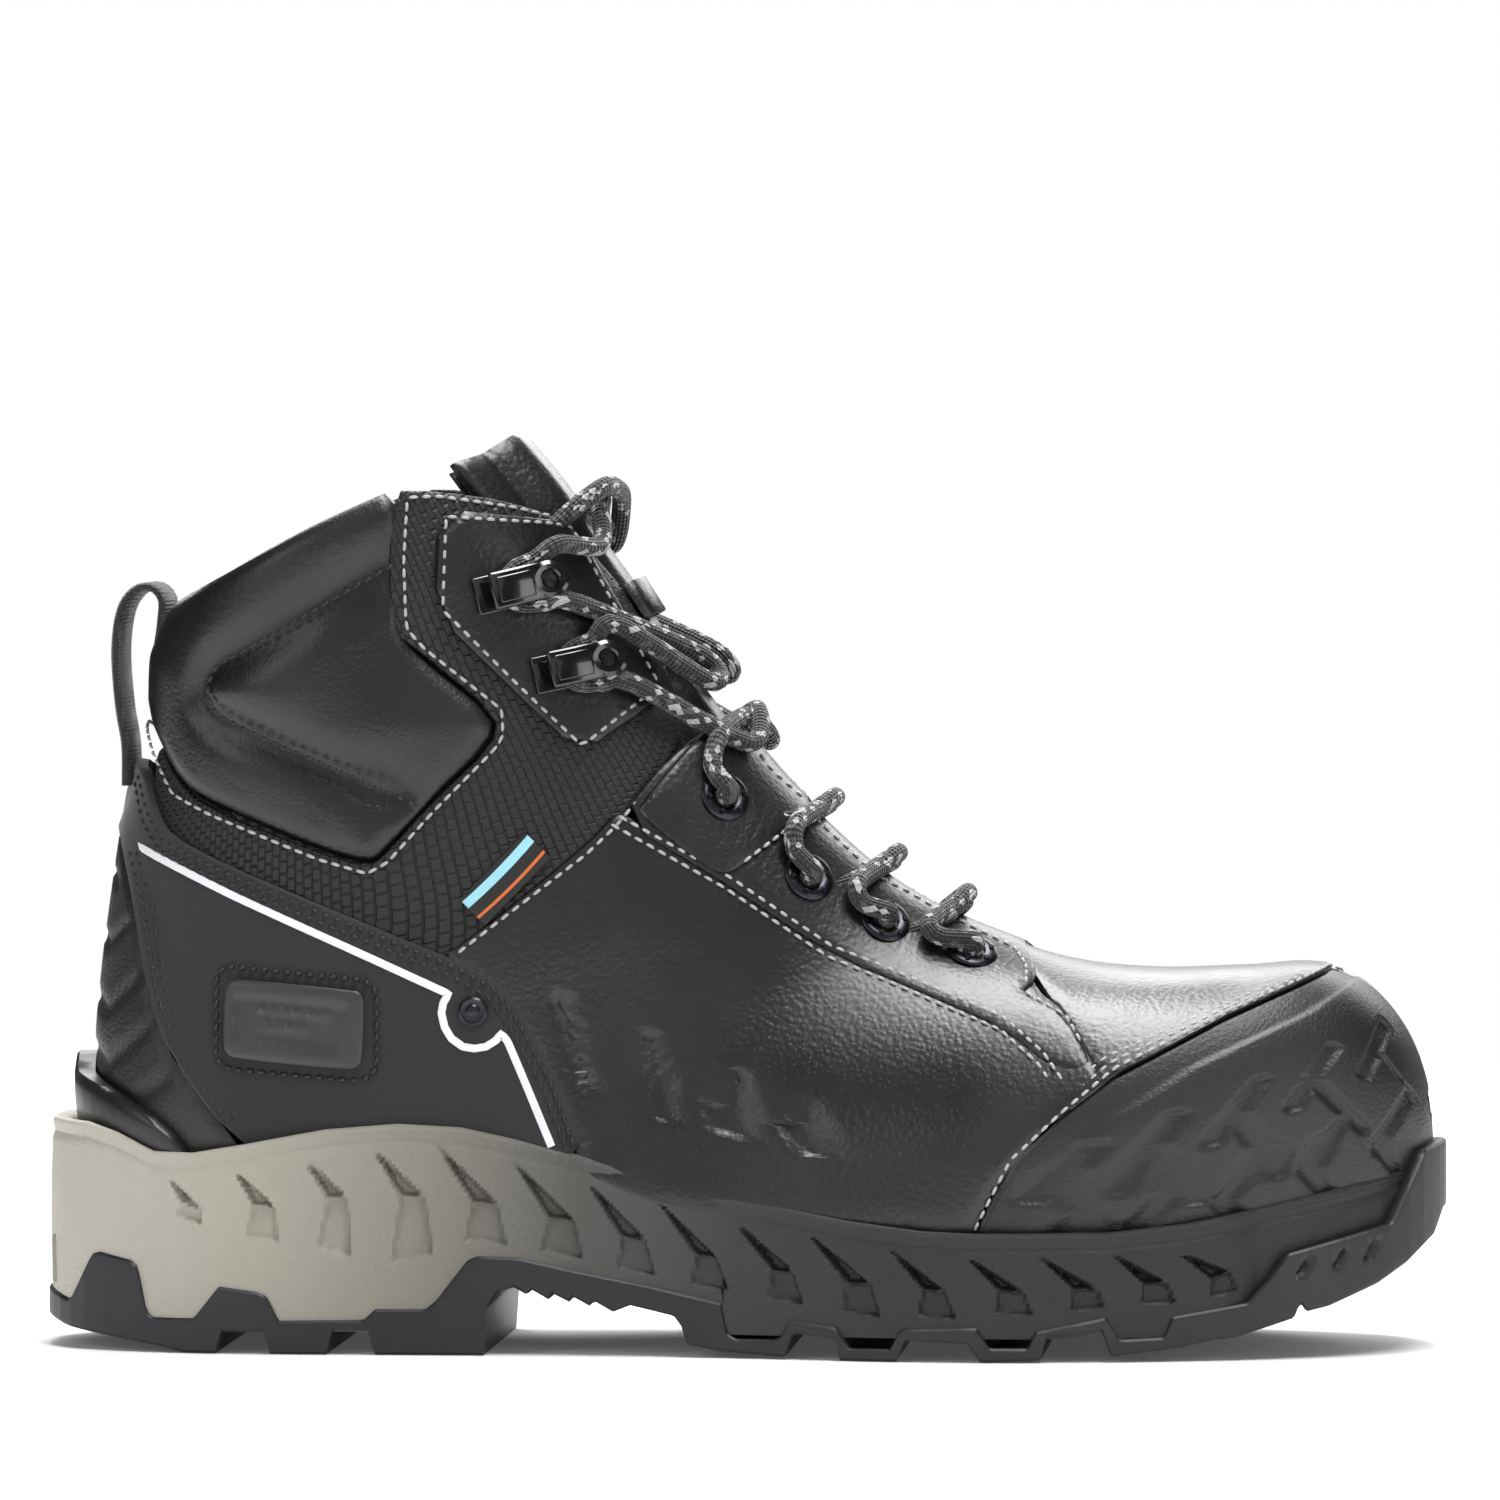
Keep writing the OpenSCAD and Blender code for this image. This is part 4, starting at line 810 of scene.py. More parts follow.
# %% Padded collar
COLLAR = [(-140.2, 139.7), (-137.5, 153.1), (-133.5, 162.6), (-130.2, 165.3), (-123.9, 169.1),
     (-115.3, 173.8), (-102.6, 177.3), (-86.3, 184.9), (-73.4, 190.7), (-73, 174.2),
     (-73.4, 158.9), (-69.4, 154), (-52.5, 140.4), (-53.4, 134.2), (-67.6, 120.4), (-77, 109.7),
     (-81, 107.5), (-91.9, 110.6), (-116.4, 120.4), (-123.9, 124.4), (-129.3, 132.8),
     (-134.6, 141.5)]
SEAM = [(-73.9, 174.2), (-91.9, 164.2), (-104.8, 156.9), (-114.4, 151.5), (-117.5, 148.9),
     (-118.8, 145.7), (-117.5, 142.6), (-114.4, 139.7), (-102.6, 134.4), (-85.4, 127),
     (-68.5, 119.5)]
COLLAR_PAD = 6.4


def padding(flat, away, side):
    seam = laid_flat(along(SEAM, 1.5, closed=False), side)
    near = distance_to(flat, seam, closed=False)
    swell = 3.4 * (1 - np.exp(-away / 3.5)) * (1 - np.exp(-np.minimum(away, 30) / 12))
    pinch = 2.9 * np.exp(-(near / 2.6) ** 2) + 0.8 * np.exp(-(near / 6.5) ** 2)
    return swell * 1.15 - pinch * np.clip(away / 4, 0, 1)


for side_name, side in SIDES:
    outline = cut_out(COLLAR, side, 1, 1.3)
    pad = panel("collar_" + side_name, outline, -COLLAR_PAD, 0.4, collar_leather, edge=2.6,
                grid=1.7, relief=lambda flat, away, side=side: padding(flat, away, side),
                node_names=("collar_" + side_name,), smooth=60)

# %% [markdown]
# The tongue is a padded strip under the laces, and the linings are thin mesh sheets that follow the
# upper's inner side. Both are strips of the last, with the tongue crowned in the middle.

# %% Tongue and linings
def tongue_drop(y):
    return np.interp(np.abs(y), [0, 7, 10, 13, 15.5, 26], [0, -0.6, -2.0, -4.2, -6.4, -6.6])


def angle_at(u, y):
    r = rings(u)
    return np.sign(y) * np.degrees(
        np.arcsin(np.clip(np.abs(y) / r[..., 4], 0, 1) ** (1 / r[..., 7])))


def sheet_faces(n, m):
    """Faces of a closed sheet: an n by m grid of points, then the same grid for the other side."""
    grid = np.arange(n * m).reshape(n, m)
    quads = np.stack([grid[:-1, :-1], grid[1:, :-1],
                      grid[1:, 1:], grid[:-1, 1:]], -1).reshape(-1, 4)
    loop = np.concatenate([grid[0], grid[1:, -1], grid[-1, -2::-1], grid[-2:0:-1, 0]])
    ahead = np.roll(loop, -1)
    wall = np.stack([loop, ahead, ahead + n * m, loop + n * m], -1)
    return np.vstack([quads, quads[:, ::-1] + n * m, wall]).tolist()


def tongue_sheet(name, u0, u1, top, bottom, finish, half, **riding):
    u, y = np.meshgrid(np.linspace(u0, u1, 90), np.linspace(-half, half, 45), indexing="ij")
    a = angle_at(u, y)
    rim = np.minimum(np.minimum(half - np.abs(y), (u - u0) * RING_MM), 2.0)
    soft = 1.0 * (1 - np.sqrt(np.clip(1 - (1 - rim / 2) ** 2, 0, 1)))
    puff = 0.5 * np.cos(y / half * np.pi / 2) * np.sin(u * 2.3) ** 2
    outer = skin(u, a, tongue_drop(y) + top - soft + puff * (top > bottom + 2))
    inner = skin(u, a, tongue_drop(y) + bottom + soft)
    made = new_piece(name, np.vstack([outer.reshape(-1, 3), inner.reshape(-1, 3)]),
                     sheet_faces(*u.shape), finish, **riding)
    face_outward(made)
    print(name, "faces", len(made.data.polygons))
    return made


tongue_pad = tongue_sheet("tongue", 0.0, 10.1, 0.2, -3.4, full_grain, 26, body="tongue",
                          node_names=("tongue",), smooth=60)
tongue_sheet("tongue_lining", 0.1, 10.1, -3.8, -5.0, lining_mesh, 25.5, body="tongue",
             node_names=("tongue_lining",), smooth=60)
LINED = [(-146, 139), (-134, 136.5), (-125, 127), (-112, 117), (-96, 110), (-80, 105.5), (-64, 118),
         (-46, 115), (-28, 112), (-6, 104), (16, 92), (38, 82), (56, 76), (68, 70), (66, 50),
         (59, 26), (38, 27), (4, 30), (-30, 34), (-64, 36.5), (-104, 39), (-124, 41), (-136, 46),
         (-142, 60)]
for side_name, side in SIDES:
    panel("lining_" + side_name, laid_flat(along(LINED, 2), side), *LAYERS["lining"], lining_mesh,
          edge=0.5, grid=3.5, node_names=("lining_" + side_name,))
print("inside lined")

# %% [markdown]
# Eyelets and hooks are small metal pieces set square to the leather. Each is turned once as a
# profile with the spin operator, then copied to its places.

# %% Helper for pieces set on the skin
def clear_selection():
    bpy.ops.object.select_all(action="DESELECT")


def joined_as(name, parts):
    clear_selection()
    for part in parts:
        part.select_set(True)
    bpy.context.view_layer.objects.active = parts[0]
    bpy.ops.object.join()
    parts[0].name = name
    return parts[0]


def frame_at(spot, side, off, turn=0.0):
    """A matrix in metres that stands a piece on the skin at a side-view place."""
    u, a = locate([spot])
    a = side * a
    origin = skin(u, a, off)[0]
    up = Vector(last_normals(u, a)[0]).normalized()
    ahead = Vector((1, 0, 0)) - up * up.x
    ahead = Matrix.Rotation(math.radians(turn * side), 3, up) @ ahead.normalized()
    out = Matrix((ahead, up.cross(ahead), up)).transposed().to_4x4()
    return Matrix.Translation(Vector(origin) * MM) @ out @ Matrix.Scale(MM, 4)


def spun(name, profile, steps=40):
    """A round piece from an (r, z) profile in mm, made with the spin operator."""
    clear_selection()
    mesh = bpy.data.meshes.new(name)
    n = len(profile)
    mesh.from_pydata([(r, 0, z) for r, z in profile], [(k, (k + 1) % n) for k in range(n)], [])
    made = bpy.data.objects.new(name, mesh)
    bpy.context.collection.objects.link(made)
    bpy.context.view_layer.objects.active = made
    made.select_set(True)
    bpy.ops.object.mode_set(mode="EDIT")
    bpy.ops.mesh.select_all(action="SELECT")
    bpy.ops.mesh.spin(steps=steps, angle=2 * math.pi, center=(0, 0, 0), axis=(0, 0, 1))
    bpy.ops.mesh.select_all(action="SELECT")
    bpy.ops.mesh.remove_doubles(threshold=1e-4)
    bpy.ops.mesh.normals_make_consistent(inside=False)
    bpy.ops.object.mode_set(mode="OBJECT")
    return made


def placed(master, name, matrices, finish, **riding):
    """One piece made of copies of a master mesh at several places."""
    made = bpy.data.objects.new(name, bpy.data.meshes.new(name))
    bpy.context.collection.objects.link(made)
    joined = bmesh.new()
    for matrix in matrices:
        copy = master.data.copy()
        copy.transform(matrix)
        joined.from_mesh(copy)
        bpy.data.meshes.remove(copy)
    joined.to_mesh(made.data)
    joined.free()
    made.data.materials.clear()
    made.data.materials.append(finish)
    settle(made, **riding)
    return made


def drop(master):
    bpy.data.objects.remove(master, do_unlink=True)


# %% Eyelets
EYELETS = [(-4.2, 121.3), (14.7, 103.7), (31.6, 93.7), (51.0, 86.6)]
ring_piece = spun("eyelet_master", [(2.7, -1.6), (3.2, -1.6), (3.2, 0.0), (5.6, 0.0), (5.7, 0.35),
                                    (5.3, 0.75), (4.6, 0.95), (3.6, 0.95), (3.0, 0.7),
                                    (2.7, 0.2)])
bpy.ops.object.select_all(action="DESELECT")
bosses = []
for k in range(6):
    angle = k * math.pi / 3 + 0.3
    bpy.ops.mesh.primitive_cylinder_add(vertices=14, radius=0.62, depth=0.5,
                                        location=(4.35 * math.cos(angle), 4.35 * math.sin(angle),
                                                  1.05), rotation=(0, 0, angle + 0.5))
    boss = bpy.context.object
    bpy.ops.object.mode_set(mode="EDIT")
    bpy.ops.mesh.select_all(action="DESELECT")
    bpy.ops.object.mode_set(mode="OBJECT")
    for face in boss.data.polygons:
        face.select = face.normal.z > 0.9
    bpy.ops.object.mode_set(mode="EDIT")
    bpy.ops.mesh.inset(thickness=0.14)
    bpy.ops.transform.translate(value=(0, 0, -0.14))
    bpy.ops.object.mode_set(mode="OBJECT")
    bpy.ops.object.transform_apply(location=True, rotation=True, scale=True)
    bosses.append(boss)
    bpy.ops.mesh.primitive_cube_add(size=1, location=(4.35 * math.cos(angle),
                                                      4.35 * math.sin(angle), 1.2),
                                    rotation=(0, 0, angle * 2.3), scale=(0.9, 0.16, 0.22))
    slit = bpy.context.object
    bpy.ops.object.transform_apply(location=True, rotation=True, scale=True)
    bosses.append(slit)
joined_as("eyelet_master", [ring_piece] + bosses)
for side_name, side in SIDES:
    spots = [frame_at(p, side, 2.5 if k == 0 else 1.7) for k, p in enumerate(EYELETS)]
    placed(ring_piece, "eyelets_" + side_name, spots, gunmetal,
           node_names=("eyelets_" + side_name,), smooth=35)
drop(ring_piece)
print("eyelets", 2 * len(EYELETS))

# %% [markdown]
# A lace hook is a pressed steel plate in gloss enamel. The plate starts as a cube, gets its rounded
# corners from the bevel operator, a raised loop end, and a low plain pad.

# %% Lace hooks
def softened_block(name, size, place, bevel, segments=3, turn=0.0):
    """A box with bevelled edges, in mm."""
    clear_selection()
    bpy.ops.mesh.primitive_cube_add(size=1, location=place, scale=size,
                                    rotation=(0, math.radians(turn), 0))
    made = bpy.context.object
    made.name = name
    bpy.ops.object.transform_apply(location=True, rotation=True, scale=True)
    bpy.ops.object.mode_set(mode="EDIT")
    bpy.ops.mesh.select_all(action="SELECT")
    bpy.ops.mesh.bevel(offset=bevel, segments=segments, affect="EDGES")
    bpy.ops.object.mode_set(mode="OBJECT")
    return made


loop_ring = spun("hook_loop", [(1.8, 5.0), (1.8, 6.3), (2.2, 6.8), (3.2, 6.9), (4.1, 6.2), (4.2, 5.2),
                               (3.4, 4.8), (2.2, 4.7)], 28)
loop_ring.data.transform(Matrix.Translation((5.2, 0, 0)) @ Matrix.Diagonal((1.15, 1, 1, 1)))
hook_piece = joined_as("hook_master", [
    softened_block("hook_foot", (12.4, 8.4, 0.9), (-4.4, 0, 0.45), 0.4),
    softened_block("hook_neck", (3.2, 4.4, 4.8), (1.0, 0, 2.9), 0.7),
    softened_block("hook_plate", (12.4, 8.4, 1.5), (-2.4, 0, 5.8), 0.7),
    softened_block("hook_pad", (8.4, 5.8, 0.7), (-3.0, 0, 6.65), 0.3), loop_ring])
HOOKS = [(-48.5, 168.2), (-35.8, 150.4)]
for side_name, side in SIDES:
    placed(hook_piece, "lace_hooks_" + side_name,
           [frame_at(p, side, 1.6, turn=-16) for p in HOOKS], hook_enamel,
           node_names=("lace_hooks_" + side_name,), smooth=35)
drop(hook_piece)
print("hooks", 2 * len(HOOKS))

# %% [markdown]
# Sewing is what makes flat panels read as a boot. A stitch is a short capsule pulled into the
# leather at both ends, and rows of them follow the panel edges at a real pitch of three
# millimetres.

# %% Stitches
RIB = 6


def stitch_row(points, side, off, pitch=2.9, long=2.15, thick=0.36):
    """Vertices and faces of one row, along a side-view line at a height over the last."""
    line = along(points, 0.5, closed=False)
    u, a = locate(line)
    a = side * a
    offs = np.interp(np.linspace(0, 1, len(line)), np.linspace(0, 1, len(np.atleast_1d(off))),
                        np.atleast_1d(off))
    path, up = skin(u, a, offs), last_normals(u, a)
    run = np.concatenate([[0], np.cumsum(np.linalg.norm(np.diff(path, axis=0), axis=1))])
    count = int(run[-1] // pitch)
    vertices, faces = [], []
    for k in range(count):
        ends = [np.array([np.interp(run[-1] * (k + 0.5) / count + d * long / 2, run, path[:, c])
                          for c in range(3)]) for d in (-1, 1)]
        mid = np.argmin(np.abs(run - run[-1] * (k + 0.5) / count))
        way = ends[1] - ends[0]
        way /= np.linalg.norm(way) + 1e-9
        lift = up[mid]
        across = np.cross(way, lift)
        start = len(vertices)
        for f, r, h in ((-0.5, 0.3, -0.30), (-0.3, 0.95, 0.05), (0.0, 1.0, 0.12), (0.3, 0.95, 0.05),
                        (0.5, 0.3, -0.30)):
            centre_point = (ends[0] + ends[1]) / 2 + way * f * long + lift * h
            for j in range(RIB):
                t = 2 * math.pi * j / RIB
                vertices.append(centre_point + thick * r * (across * math.cos(t)
                                                            + lift * math.sin(t)))
        for i in range(4):
            for j in range(RIB):
                p, q = start + i * RIB + j, start + i * RIB + (j + 1) % RIB
                faces.append([p, q, q + RIB, p + RIB])
        faces.append([start + j for j in range(RIB)][::-1])
        faces.append([start + 4 * RIB + j for j in range(RIB)])
    return vertices, faces


def sewn(name, rows, finish, **kinds):
    vertices, faces = [], []
    for points, side, off in rows:
        v, f = stitch_row(points, side, off, **kinds)
        base = len(vertices)
        vertices += v
        faces += [[p + base for p in face] for face in f]
    made = new_piece(name, vertices, faces, finish, slot="webbing", smooth=60)
    print(name, "stitches", len(faces) // (4 * RIB + 2))
    return made


PALE_ROWS = [
    ([(-26.5, 118.1), (-2.4, 104.4), (20.2, 88.8), (45.2, 78.5), (59.4, 73), (68.5, 65.9),
    (72.8, 60.3)], 1.75), ([(-28, 116.4), (-3.1, 102.1), (19.8, 86.6), (44.7, 76.3),
    (58.7, 70.8), (67.2, 64.1), (71.2, 58.5)], 1.2), ([(-61, 87.9), (-32.9, 109.7),
    (-26.5, 115.9), (-23.6, 119.5), (-15.1, 130.2)], 1.1), ([(-6.2, 135.5), (-2.4, 135.1),
    (4.5, 126.2), (11.6, 119.5)], 2.65), ([(12.9, 116.4), (0.4, 107)], 2.65), ([(14.2, 116.4),
    (28.7, 103), (35.2, 99.5), (43.6, 94.6), (52.3, 90.6), (60.1, 87), (63.2, 83.4),
    (63.6, 79.9)], 1.8), ([(63.6, 78.1), (73, 73.4), (76.5, 68.3)], 1.8), ([(131.7, 85.2),
    (107.7, 76.1), (81.7, 65.2), (69.4, 55.4), (58.7, 45.2), (48.7, 28.5)], [1.4, 1.5, 1.2]),
    ([(132.4, 84.5), (107.9, 75), (83, 64.1), (71.2, 54.5), (60.3, 44.7), (51.2, 28.5)],
    [1.9, 2.0, 1.7]), ([(132.8, 83.9), (107.9, 74.1), (84.1, 63), (72.5, 53.8), (61.4, 43.8),
    (53.4, 28.5)], [2.5, 2.6, 2.3]), ([(-64.1, 183.8), (-44.1, 182), (-38.7, 181.1),
    (-30.3, 166), (-19.1, 146.6)], 1.7), ([(-19.6, 145.3), (-34.3, 133.3), (-48.5, 147.1),
    (-64.5, 163.5)], 1.7), ([(-64.1, 183.8), (-64.5, 164)], 1.7), ([(-72.1, 187.6),
    (-72.8, 174.2), (-72.3, 159.5), (-68.5, 155.1), (-51.4, 141.5), (-51.2, 135.3),
    (-53.4, 132.4), (-66.5, 119), (-76.5, 107.9), (-81, 105.5), (-91.9, 108.6), (-117, 118.4),
    (-125.5, 122.6), (-130.8, 131.9), (-133.5, 138.2)], 0.1), ([(-72.1, 188.2), (-65.4, 188.5),
    (-49.4, 186), (-41.8, 184)], 0.1)]
DARK_ROWS = [
    ([(-133.1, 126.4), (-130.2, 117.5), (-126.8, 111.9), (-113.3, 105.9), (-91.9, 97.2),
    (-70.8, 88.8), (-60.1, 84.5), (-52.5, 80.1), (-47.6, 73.2), (-40, 59), (-34.7, 45.2)], 1.55),
    ([(-133.9, 124.8), (-131.5, 115.9), (-127.7, 110.1), (-113.7, 103.9), (-92.3, 95.2),
    (-71.2, 86.8), (-60.7, 82.5), (-54.1, 78.5), (-49.4, 72.3), (-41.8, 58.1), (-36.5, 45.2)],
    1.55), ([(-133.9, 109.7), (-130.4, 97.2), (-127, 78.1), (-121.9, 64.7), (-110.4, 50.1)],
    [2.4, 2.4, 2.4]), ([(-132.6, 109.7), (-128.6, 97.7), (-125.3, 78.5), (-120.4, 65.6),
    (-109, 51.4)], [1.9, 1.9, 1.9]), ([(-74.8, 173.6), (-91.9, 163.8), (-104.8, 156.4),
    (-114.4, 151.1), (-116.8, 145.7), (-114.4, 140.4), (-102.6, 134.8), (-85.4, 127.5),
    (-69.9, 120.4)], 0.9)]
sewn("pale_stitching", [(row, side, off) for row, off in PALE_ROWS for _, side in SIDES],
     pale_thread)
sewn("dark_stitching", [(row, side, off) for row, off in DARK_ROWS for _, side in SIDES],
     dark_thread, pitch=2.7, thick=0.34)

# %% [markdown]
# The sole is drawn as one path round the foot, seen from above, with a row of heights at each step.
# The midsole wall carries a slanted chevron every 17 mm, moulded in as a deep blade over a shallow
# facet. A wall like that is quickest as a grid whose points are pushed in where a chevron lies.

# %% The path round the sole
PLAN_OUTER = [(-155.3, -7), (-154, -14), (-150, -23), (-143, -30), (-130, -37), (-112, -41.5),
              (-90, -42), (-60, -42), (-30, -42), (0, -45.5), (25, -52), (45, -56), (70, -55),
              (95, -50), (115, -44), (130, -37.5), (142, -29), (150, -19), (154, -10), (155.7, -3)]
PLAN_INNER = [(155.7, 7), (154, 15), (150, 25), (142, 35), (132, 42), (120, 47.5), (105, 51.5),
              (85, 55), (65, 56), (50, 54.5), (25, 48.5), (0, 42.5), (-30, 39), (-60, 39), (-90, 39.5),
              (-112, 40), (-130, 36), (-143, 29.5), (-150, 22), (-154, 14), (-155.3, 7)]
sole_path = along(rounded(PLAN_OUTER + PLAN_INNER, 1), 0.75)
step = np.roll(sole_path, -1, axis=0) - np.roll(sole_path, 1, axis=0)
outward = np.stack([step[:, 1], -step[:, 0]], -1)
outward /= np.linalg.norm(outward, axis=1, keepdims=True)
for _ in range(6):
    outward = (np.roll(outward, 1, axis=0) + 2 * outward + np.roll(outward, -1, axis=0)) / 4
print("path points", len(sole_path),
      "length mm", round(float(np.linalg.norm(step, axis=1).sum() / 2)))


def heights(line, x):
    line = np.array(line)
    return np.interp(x, line[:, 0], line[:, 1])


RIM = [(-155, 50.5), (-145, 50), (-138, 48), (-129, 44), (-120, 43.8), (-107, 46), (-90, 49.2),
       (-74, 50.5), (-60, 49.8), (-47, 47), (-33, 43.6), (-9, 36.3), (8, 33.4), (25, 30.3),
       (42, 28.3), (54, 27.8), (83, 28), (100, 29.8), (116, 32.7), (133, 36.3), (147, 39.6), (156, 42)]
SOLE_LINE = [(-155.3, 13.1), (-153.5, 12), (-149.1, 10.7), (-148, 11.6), (-143.1, 21.1),
     (-141.3, 21.6), (-133.7, 20), (-132.2, 18.7), (-130.2, 8.9), (-128.6, 7.6), (-119.3, 7.6),
     (-113.5, 14.7), (-104.8, 13.6), (-102.6, 12.5), (-100.1, 7.3), (-81.2, 7.6), (-78.8, 10),
     (-67.6, 10), (-65.2, 12), (-58.3, 20.9), (-55.8, 21.8), (-47.2, 21.4), (-34.9, 18.7),
     (-17.8, 15.4), (-2.4, 12), (-1.3, 5.6), (0.9, 4.2), (9.3, 4.2), (11.1, 5.1), (12.9, 8.7),
     (23.1, 7.3), (26.3, 2.7), (35.2, 2.7), (37.4, 7.1), (54.1, 7.6), (57.2, 3.1), (65.6, 3.1),
     (67, 6.7), (82.5, 9.8), (85.2, 4.9), (95, 5.3), (96.8, 9.8), (113, 12.5), (117.5, 17.4),
     (121.9, 23.1), (144.2, 28.9), (147.7, 36.3), (151.5, 44.5), (155.8, 46.1)]
UNDER = [(-155.3, 8.7), (-155.1, 6), (-149.3, 4.5), (-127.3, 1.3), (-121.9, 0), (-113.9, 0),
     (-113, 4.7), (-103.2, 4.7), (-102.4, 0), (-89.2, 0), (-88.3, 5.1), (-80.1, 5.1), (-79.2, 0),
     (-54.7, 0), (-54.3, 9.6), (-51.8, 13.8), (-48.1, 14.9), (-45.2, 13.1), (-44.5, 14.5),
     (-40.5, 12.2), (-39.8, 13.6), (-35.8, 11.6), (-35.2, 12.9), (-31.2, 10.7), (-30.5, 12),
     (-26.3, 9.6), (-22.5, 11.1), (-12.9, 8.9), (-11.3, 6.9), (-10, 2.7), (-2.4, 1.3), (12, 0.4),
     (13.8, 5.6), (23.1, 4.7), (23.8, 0), (36.7, 0), (38.7, 4.5), (52.3, 4), (55, 0),
     (68.3, 0.4), (69.6, 5.8), (81.7, 6.7), (83.4, 1.1), (97.2, 2.7), (105.9, 4.5), (110.4, 4.9),
     (123.3, 8.9), (124.6, 12.2), (125.9, 10.2), (130.8, 11.3), (141.5, 15.8), (147.7, 19.8),
     (153.3, 25.1), (155.3, 30.7)]
CHEVRONS = [
    [(-125.5, 38.9), (-117.5, 31.6), (-117.5, 28), (-123.5, 29.8), (-122.2, 32.9)],
    [(-110.6, 40.9), (-100.8, 32.5), (-100.1, 24.5), (-107.5, 25.6), (-105.9, 32.5)],
    [(-95.2, 43.6), (-84.8, 34.5), (-83.9, 21.4), (-91.7, 23.1), (-89.4, 34.3)], [(-79.7, 45.8),
    (-67.6, 34.5), (-65.9, 22.2), (-75.4, 19.8), (-73.2, 34.5)], [(-65.9, 46.9), (-51.8, 33.4),
    (-49.6, 24), (-59, 24.9), (-57.2, 33.4)], [(-49, 43.4), (-34.9, 29.8), (-32.7, 20.9),
    (-42.5, 22.7), (-40.5, 30)], [(-32.9, 39.2), (-19.1, 25.6), (-16.9, 17.6), (-25.4, 18.9),
    (-24.5, 26)], [(-17.1, 34.9), (-3.6, 22.2), (-0.4, 14.5), (-9.1, 15.8), (-8, 22.2)],
    [(-0.4, 30.9), (13.6, 19.1), (16, 11.8), (7.8, 13.3), (8.9, 19.1)], [(16.5, 28),
    (30.9, 16.7), (33.2, 9.3), (24.3, 10.7), (25.4, 16.9)], [(34.5, 24.9), (47.4, 15.4),
    (49.8, 9.3), (41.2, 10), (42.5, 15.8)], [(51.4, 23.6), (64.7, 15.1), (66.8, 10),
    (58.3, 10.7), (59, 15.8)], [(67.2, 23.6), (80.8, 15.8), (82.3, 11.8), (74.5, 11.1),
    (75.4, 16)], [(83.4, 23.8), (95.9, 17.1), (97.7, 12.7), (89.9, 12.5), (90.6, 17.1)],
    [(97.7, 24), (109.5, 19.4), (111.7, 15.1), (105, 13.8), (105.5, 17.8)]]
TOE_SLOTS = [
    [(122.8, 18), (125.5, 22), (128.2, 22.7), (125.5, 18)], [(130.8, 19.4), (133.1, 23.4),
    (135.3, 23.8), (133.1, 19.4)], [(137.9, 21.1), (139.7, 25.1), (142, 25.6), (140.2, 21.1)]]

# %% Helper for bands round the sole
def sole_band(name, rows, finish, **riding):
    """A closed band: each row is (outward distance or None for the middle, heights)."""
    layers = []
    for out, z in rows:
        if out is None:
            xy = np.stack([np.clip(sole_path[:, 0], -146, 146), np.zeros(len(sole_path))], -1)
        elif isinstance(out, np.ndarray) and out.ndim == 2:
            xy = out
        else:
            xy = sole_path + outward * np.broadcast_to(out, len(sole_path))[:, None]
        layers.append(np.column_stack([xy, z]))
    made = new_piece(name, np.vstack(layers), tube_faces(len(layers), len(sole_path)), finish,
                     **riding)
    face_outward(made, merge=True)
    print(name, "faces", len(made.data.polygons))
    return made


def pressed(x, z, shape, soft):
    p = np.stack([x, z], -1)
    line = np.array(shape)
    return within(p, line) * np.clip(distance_to(p, line) / soft, 0, 1)


# %% Midsole
px, py = sole_path[:, 0], sole_path[:, 1]
rim_z = heights(RIM, px)
covered = np.clip((px - 108) / 8, 0, 1) * 2.3 + 0.9
low_z = np.maximum(heights(SOLE_LINE, px) - 3.0, 5.0)
low_z = np.minimum(low_z, rim_z - 6)
rows = [(None, low_z), (-covered - 0.6, low_z)]
for f in np.linspace(0, 1, 48):
    z = low_z + (rim_z - 1.4 - low_z) * f
    push = np.zeros(len(px))
    for shape in CHEVRONS:
        tip, right, low_right, low_left, left = shape
        near = np.abs(px - (tip[0] + right[0]) / 2) < 16
        blade = pressed(px[near], z[near], (tip, right, left), 0.6)
        facet = pressed(px[near], z[near], (left, right, low_right, low_left), 0.6)
        push[near] += 2.9 * blade + 1.5 * facet
    bulge = 0.5 * np.sin(f * np.pi) ** 0.7
    undercut = 0.5 * np.exp(-((rim_z - 3.2 - z) / 0.9) ** 2)
    rows.append((-covered + bulge - push - undercut, z))
rows += [(-covered + 0.1, rim_z - 0.9), (-covered - 0.2, rim_z - 0.2),
         (-covered - 1.1, rim_z + 0.15), (-covered - 2.0, rim_z - 0.3)]
u, a = locate(np.stack([px, rim_z - 1.0], -1))
cup = skin(u, a * np.sign(py), np.full(len(px), 0.3))
inner = np.stack([np.clip(px, -143, 150),
                  np.sign(py) * np.minimum(np.abs(cup[:, 1]), np.abs(py) - 3)], -1)
inner[np.abs(py) < 4, 1] = 0
FLOOR = [(-155, 46), (-139, 43), (-130, 36.5), (-118, 31), (-75, 28.5), (-25, 22.5), (22, 17.5),
         (62, 16.5), (92, 17), (112, 19), (127, 22), (138, 26), (145, 31), (156, 38)]
floor_z = np.minimum(heights(FLOOR, px), rim_z - 1.5)
rows += [(inner, rim_z - 1.2), (None, np.maximum(floor_z, low_z + 1))]
sole_band("midsole", rows, midsole_foam, node_names=("midsole",), smooth=35)

# %% [markdown]
# The outsole wraps up over the midsole in tabs, so its wall stands a little proud and its top edge
# follows a stepped line. The toe end is a bumper with three slanted slots.

